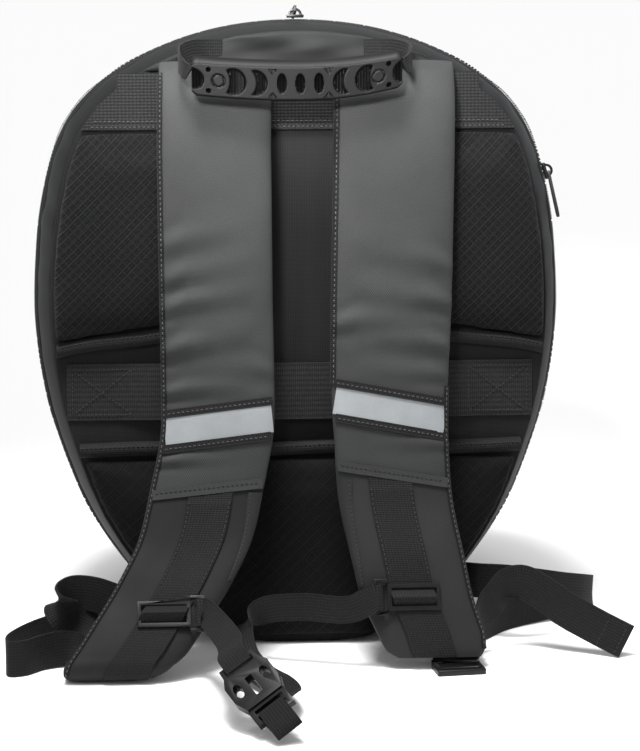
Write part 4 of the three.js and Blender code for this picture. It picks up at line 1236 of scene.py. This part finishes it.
def pocket_share(x, s):
    """How much of the full depth the front is pressed in, from 0 to 1."""
    low, high = grip_edges(x)
    mid = (low + high - CHAMFER) / 2

    def lens(cx, rx, rz, cz=0.0):
        d = ((x - cx) / rx) ** 2 + ((s - mid - cz) / rz) ** 2
        return max(0.0, min(1.0, (1 - d) * 4))

    def moon(cx, rx, rz, bite, wide):
        return lens(cx, rx, rz) * (1 - lens(bite, wide, 11.5))

    deep = max(lens(-14.6, 3.3, 7.0), lens(-1.9, 3.3, 7.0), lens(11, 3.3, 7.0),
               moon(-48, 9, 9.4, -57.5, 8), moon(-33, 8.6, 9.0, -40.5, 9.5),
               moon(29, 8.4, 9.0, 36.5, 9.5), moon(44.5, 8.6, 9.4, 53, 7.5),
               lens(-76, 8, 7.5), lens(69.5, 7.5, 8))
    for ring, hole, notch in ((-58.2, -65.2, -21), (52.2, 59.4, 17.8)):
        deep = max(deep, 0.4 * max(0.0, 1 - abs(math.hypot(x - ring, s - mid) - 4.2) / 0.9),
                   lens(hole, 1.6, 1.6, 7.2), lens(hole, 1.6, 1.6, -7.2))
        if abs(x - notch) < 3.2 - (10 - abs(s - mid)) * 0.8 and abs(s - mid) < 10:
            deep = max(deep, 0.35)
    return deep


def grip_place(i, j):
    x = GRIP_LEFT + GRIP_LONG * i / (GRIP_COLUMNS - 1)
    low, high = grip_edges(x)
    bow = -54 + 1.6 * (x / 76) ** 2
    if j < FRONT_ROWS:
        t = j / (FRONT_ROWS - 1)
        s = low + (high - CHAMFER - low) * t
        edge = min(t, 1 - t) * (FRONT_ROWS - 1)
        ribs = 1 - 0.2 * (1 + math.cos(math.pi * x))
        depth = bow + (1.2 * (1 - edge / 3) ** 2 if edge < 3 else 0) + 2.6 * pocket_share(x, s) * ribs
        return on_panel(x, depth, s)
    back = [(bow + 1.6, high - CHAMFER + 0.8), (bow + 3.6, high - 2.4), (bow + 5.8, high - 0.4),
            (bow + 7.5, high), (-43.6, high), (-43, high - 1), (-43, low + 1), (-43.6, low),
            (bow + 2.4, low), (bow + 1.2, low)]
    depth, s = back[j - FRONT_ROWS]
    return on_panel(x, depth, s)


grip = lay_grid("carry_grip", GRIP_COLUMNS, FRONT_ROWS + BACK_ROWS, grip_place,
                lambda i, j: (i / 2000, j / 2000))
edit_all(grip)
bpy.ops.mesh.select_mode(type="VERT")
bpy.ops.mesh.remove_doubles(threshold=0.00001)
bpy.ops.mesh.select_all(action="DESELECT")
bpy.ops.mesh.select_non_manifold(extend=False)
bpy.ops.mesh.remove_doubles(threshold=0.0016)
bpy.ops.mesh.select_all(action="SELECT")
bpy.ops.mesh.fill_holes(sides=0)
leave_edit()
face_outwards(grip)
smooth_by_angle(grip, 45)
from_panel = points_of(grip) - np.array(on_panel(0, 0, 0))
panel_up = np.array(UP_PANEL)
# Painted shade in the pockets: each front point keeps its pocket depth for the finish to darken
painted_pocket_shade = []
for place in from_panel:
    s = float(place @ panel_up) / float(panel_up @ panel_up)
    in_front = float(place @ np.array(PANEL_OUT)) > FRONT_FROM_PANEL
    painted_pocket_shade.append(pocket_share(float(place[0]) * 1000, s) if in_front else 0.0)
grip.data.attributes.new("pocket", "FLOAT", "POINT").data.foreach_set("value", painted_pocket_shade)
print("pocket points on the grip:", sum(mark > 0.5 for mark in painted_pocket_shade))
dress(grip, soft_grip, "grip", "handle_grip")

# %% [markdown]
# ## Chest strap, lower webbing and tails
# These bands hang and lie free, so each follows its own stations, the same as those of its solid.

# %% Free bands
LOOP_BAR = 26.75


def place_of(word):
    """Middle, across and face of an adjuster."""
    route = left_strap if word == "left" else right_strap
    row = strap_row(route, run_at(route, ADJUSTER_AT[word]))
    at = row["at"] + row["face"] * (row["thickness"] / 2 + 0.0031)
    at = at + row["across"] * web_offset(word, ADJUSTER_AT[word]) / 1000
    down = np.cross(row["face"], row["across"])
    return at, row["across"], row["face"], down


BUCKLE_AT = np.array(on_floor(-53.5, -196, 38))
BUCKLE_ALONG = np.array(Vector((0.463, -0.772, -0.438)).normalized())
BUCKLE_ACROSS = np.array(Vector((-0.811, -0.17, -0.559)).normalized())
BUCKLE_UP = np.cross(BUCKLE_ACROSS, BUCKLE_ALONG)


def round_the_loop(word, side):
    """Three stations that lead a chest strap round the loop of its adjuster."""
    at, across, face, down = place_of(word)
    return [(tuple(at + across * (side * (LOOP_BAR - back)) / 1000 + face * lift / 1000), tuple(down))
            for back, lift in ((4.8, -0.6), (3.6, 2.2), (0, 3.4))]


def laid_on_floor(rows):
    """Stations from flat rows: a place, then the direction across the band unless it stands upright."""
    return [(tuple(on_floor(*row[:3])), row[3:] or (0, 0, 1)) for row in rows]


def through_the_buckle(places):
    """Stations beside the buckle's middle: so far along it and so far above it."""
    return [(tuple(BUCKLE_AT + BUCKLE_ALONG * along / 1000 + BUCKLE_UP * up / 1000), tuple(-BUCKLE_ACROSS))
            for along, up in places]


chest_left = round_the_loop("left", 1) + laid_on_floor([
    (-64, -122, 44, 0.62, 0.15, 0.77), (-58, -160, 44, 0.76, 0.2, 0.6),
]) + through_the_buckle([(-6, 5.6), (4.5, 5.2)])
chest_right = round_the_loop("right", -1) + laid_on_floor([
    (29, -74, 42, 0, 0.1, 1), (-5, -62, 41, 0, 0.1, 1), (-32, -54, 36, 0.35, 0, 0.94),
    (-45, -60, 26, 0.8, -0.1, 0.6), (-45, -82, 14.5, 0.9, -0.1, 0.43),
    (-36, -112, 9, 0.87, 0.3, 0.4), (-24, -145, 9.5, 0.82, 0.3, 0.48), (-20, -180, 12, 0.82, 0.2, 0.54),
]) + through_the_buckle([(41, -6), (56, -3.4), (64, -1.4), (66, 1.4), (63, 3.8), (54, 4.2), (43, 3.9)])


def free_band(name, rows, steps, node, width):
    route = lead_route([(at, across, width, 0.0015) for at, across in rows], steps)
    lay_band(name, route, strap_webbing, "webbing", node,
             lift=lambda u, run: 0.00015 * math.sin(run * 120 + u))
    return route


free_band("chest_band_left", chest_left, 60, "chest_webbing_left", 0.019)
free_band("chest_band_right", chest_right, 170, "chest_webbing_right", 0.019)

# %% Lower webbing and tails
lower_left = [(-109, 13.5, 33.5, 0, 0.2, 1), (-132, 8, 20, 0.1, 0.1, 1), (-153, 3, 13.5), (-178, -11, 13),
              (-197, -38, 13), (-208, -66, 13), (-206, -81, 13), (-196, -79, 13), (-183, -65, 13),
              (-169, -57, 13, 0, 0.2, 0.98), (-158, -54.5, 10.6, 0, 0.7, 0.7),
              (-152, -53.5, 4.5, 0, 0.98, 0.15)]
tail_left = [(-136, -37, 6.4, 0, 1, 0.1), (-147, -31, 17, 0.1, 0.7, 0.6), (-160, -31, 24, 0.5, 0.35, 0.8),
             (-169, -36, 32, 0.6, 0.2, 0.75), (-172, -33, 41, 0.3, 0.1, 0.95), (-164, -28, 45, 0.05, 0, 1),
             (-150, -27, 44), (-135, -28, 39), (-118, -30, 31), (-104, -32, 24)]
lower_right = [(98, -72, 1.6, 1, 0.12, 0), (100, -66, 1.8, 1, 0.1, 0), (105, -50, 8, 0.8, 0.1, 0.5),
               (115, -32, 13.2, 0.2, 0.1, 0.98), (132, -8, 13), (154, 20, 13), (182, 38, 14), (205, 42, 18),
               (215, 33, 23), (207, 18, 28), (190, 5, 33), (168, -6, 39), (146, -9, 43), (129, 0, 42),
               (120.8, 12, 40)]
tail_right = [(104, -82, 5.4, 1, 0.1, 0), (107, -70, 6.2, 1, 0.1, 0.05), (114, -58, 14, 0.75, 0.1, 0.66),
              (122, -49, 25, 0.35, 0.1, 0.93), (132, -41, 37, 0, 0.1, 1), (143, -33, 46, 0.05, 0.1, 1),
              (154, -31, 48, 0.2, 0.1, 0.97), (167, -35, 42, 0.3, 0.1, 0.95), (184, -43, 31, 0.4, 0.1, 0.9),
              (203, -50, 21, 0.5, 0.1, 0.86), (225, -60, 11, 0.6, 0.1, 0.79)]
for name, rows, steps, node in (
        ("lower_band_left", lower_left, 150, "lower_webbing_left"),
        ("tail_band_left", tail_left, 120, "tail_webbing_left"),
        ("lower_band_right", lower_right, 180, "lower_webbing_right"),
        ("tail_band_right", tail_right, 130, "tail_webbing_right")):
    route = free_band(name, laid_on_floor(rows), steps, node, 0.025)
for back in (0.004, 0.018):
    row = strap_row(route, route[-1]["run"] - back)
    for out in (row["face"], -row["face"]):
        sew([row["at"] + row["across"] * u * 0.0115 + out * 0.0009 for u in np.linspace(-1, 1, 12)],
            tuple(out))

# %% [markdown]
# ## Carry handle webbing
# The grip is moulded on a webbing whose ends loop back and are sewn under the wide band.

# %% Handle webbing
for side, word, inward, lift in ((-1, "left", 0, 0), (1, "right", 8, 4)):
    rows = [
        (tuple(on_panel(side * (x - inward), depth, s)), UP_PANEL, wide / 1000, 0.0015)
        for x, depth, s, wide in (
            (78.5, -48.5, 402 + lift, 10), (81.5, -46, 405 + lift, 11), (84.5, -38, 409.5 + lift * 0.6, 13),
            (83.5, -27, 414.5 + lift * 0.2, 15), (75, -17, 418.5, 15), (65, -10.2, 419, 15),
            (54, -7.7, 419, 15))
    ]
    lay_band("handle_band_" + word, lead_route(rows, 60), strap_webbing, "webbing", "handle_webbing_" + word)

# %% [markdown]
# ## All the stitches
# The seams laid so far become two meshes, one for each thread.

# %% Sew
for thread, finish in (("black", thread_black), ("grey", thread_grey)):
    dress(lay_copies("stitches_" + thread, stitch, stitch_spots[thread]), finish, "binding")
    print(thread, "stitches:", len(stitch_spots[thread]))
bpy.data.objects.remove(stitch)

# %% [markdown]
# ## Floor and light
# The bag stands on a pale floor that fades into a pale room. A soft sun and a lamp from above rake
# over the folds, and a narrow lamp from the front brightens the top of the straps.

# %% Floor and light
pick_only(camera)
bpy.ops.mesh.primitive_plane_add(size=30, location=(0, 0, 0))
floor = bpy.context.object
floor.name = "floor"
paper = Finish("pale_paper", 0.9, specular=0.1)
paper.shader.inputs["Base Color"].default_value = (0.97, 0.97, 0.97, 1)
floor.data.materials.append(paper.done())

world = bpy.data.worlds.new("soft_room")
world.use_nodes = True
world.node_tree.nodes["Background"].inputs["Color"].default_value = (1, 1, 1, 1)
world.node_tree.nodes["Background"].inputs["Strength"].default_value = 0.6
bpy.context.scene.world = world
bpy.context.scene.view_settings.view_transform = "Standard"


def aim(lamp, name, target=(0, 0, 0.22)):
    lamp.name = name
    lamp.rotation_euler = (Vector(target) - lamp.location).to_track_quat("-Z", "Y").to_euler()


pick_only(camera)
bpy.ops.object.light_add(type="SUN", location=(-0.25, -0.95, 2.6))
bpy.context.object.data.energy = 1.4
bpy.context.object.data.angle = math.radians(28)
aim(bpy.context.object, "sky_lamp")
for name, place, target, watts, cone, soft in (
        ("raking_lamp", (-0.16, -0.4, 1.5), (0, -0.03, 0.22), 150, 36, 0.22),
        ("top_lamp", (-0.3, -1.25, 0.95), (0, -0.06, 0.43), 260, 17, 0.15)):
    bpy.ops.object.light_add(type="SPOT", location=place)
    lamp = bpy.context.object
    lamp.data.energy = watts
    lamp.data.spot_size = math.radians(cone)
    lamp.data.spot_blend = 1.0
    lamp.data.shadow_soft_size = soft
    aim(lamp, name, target)
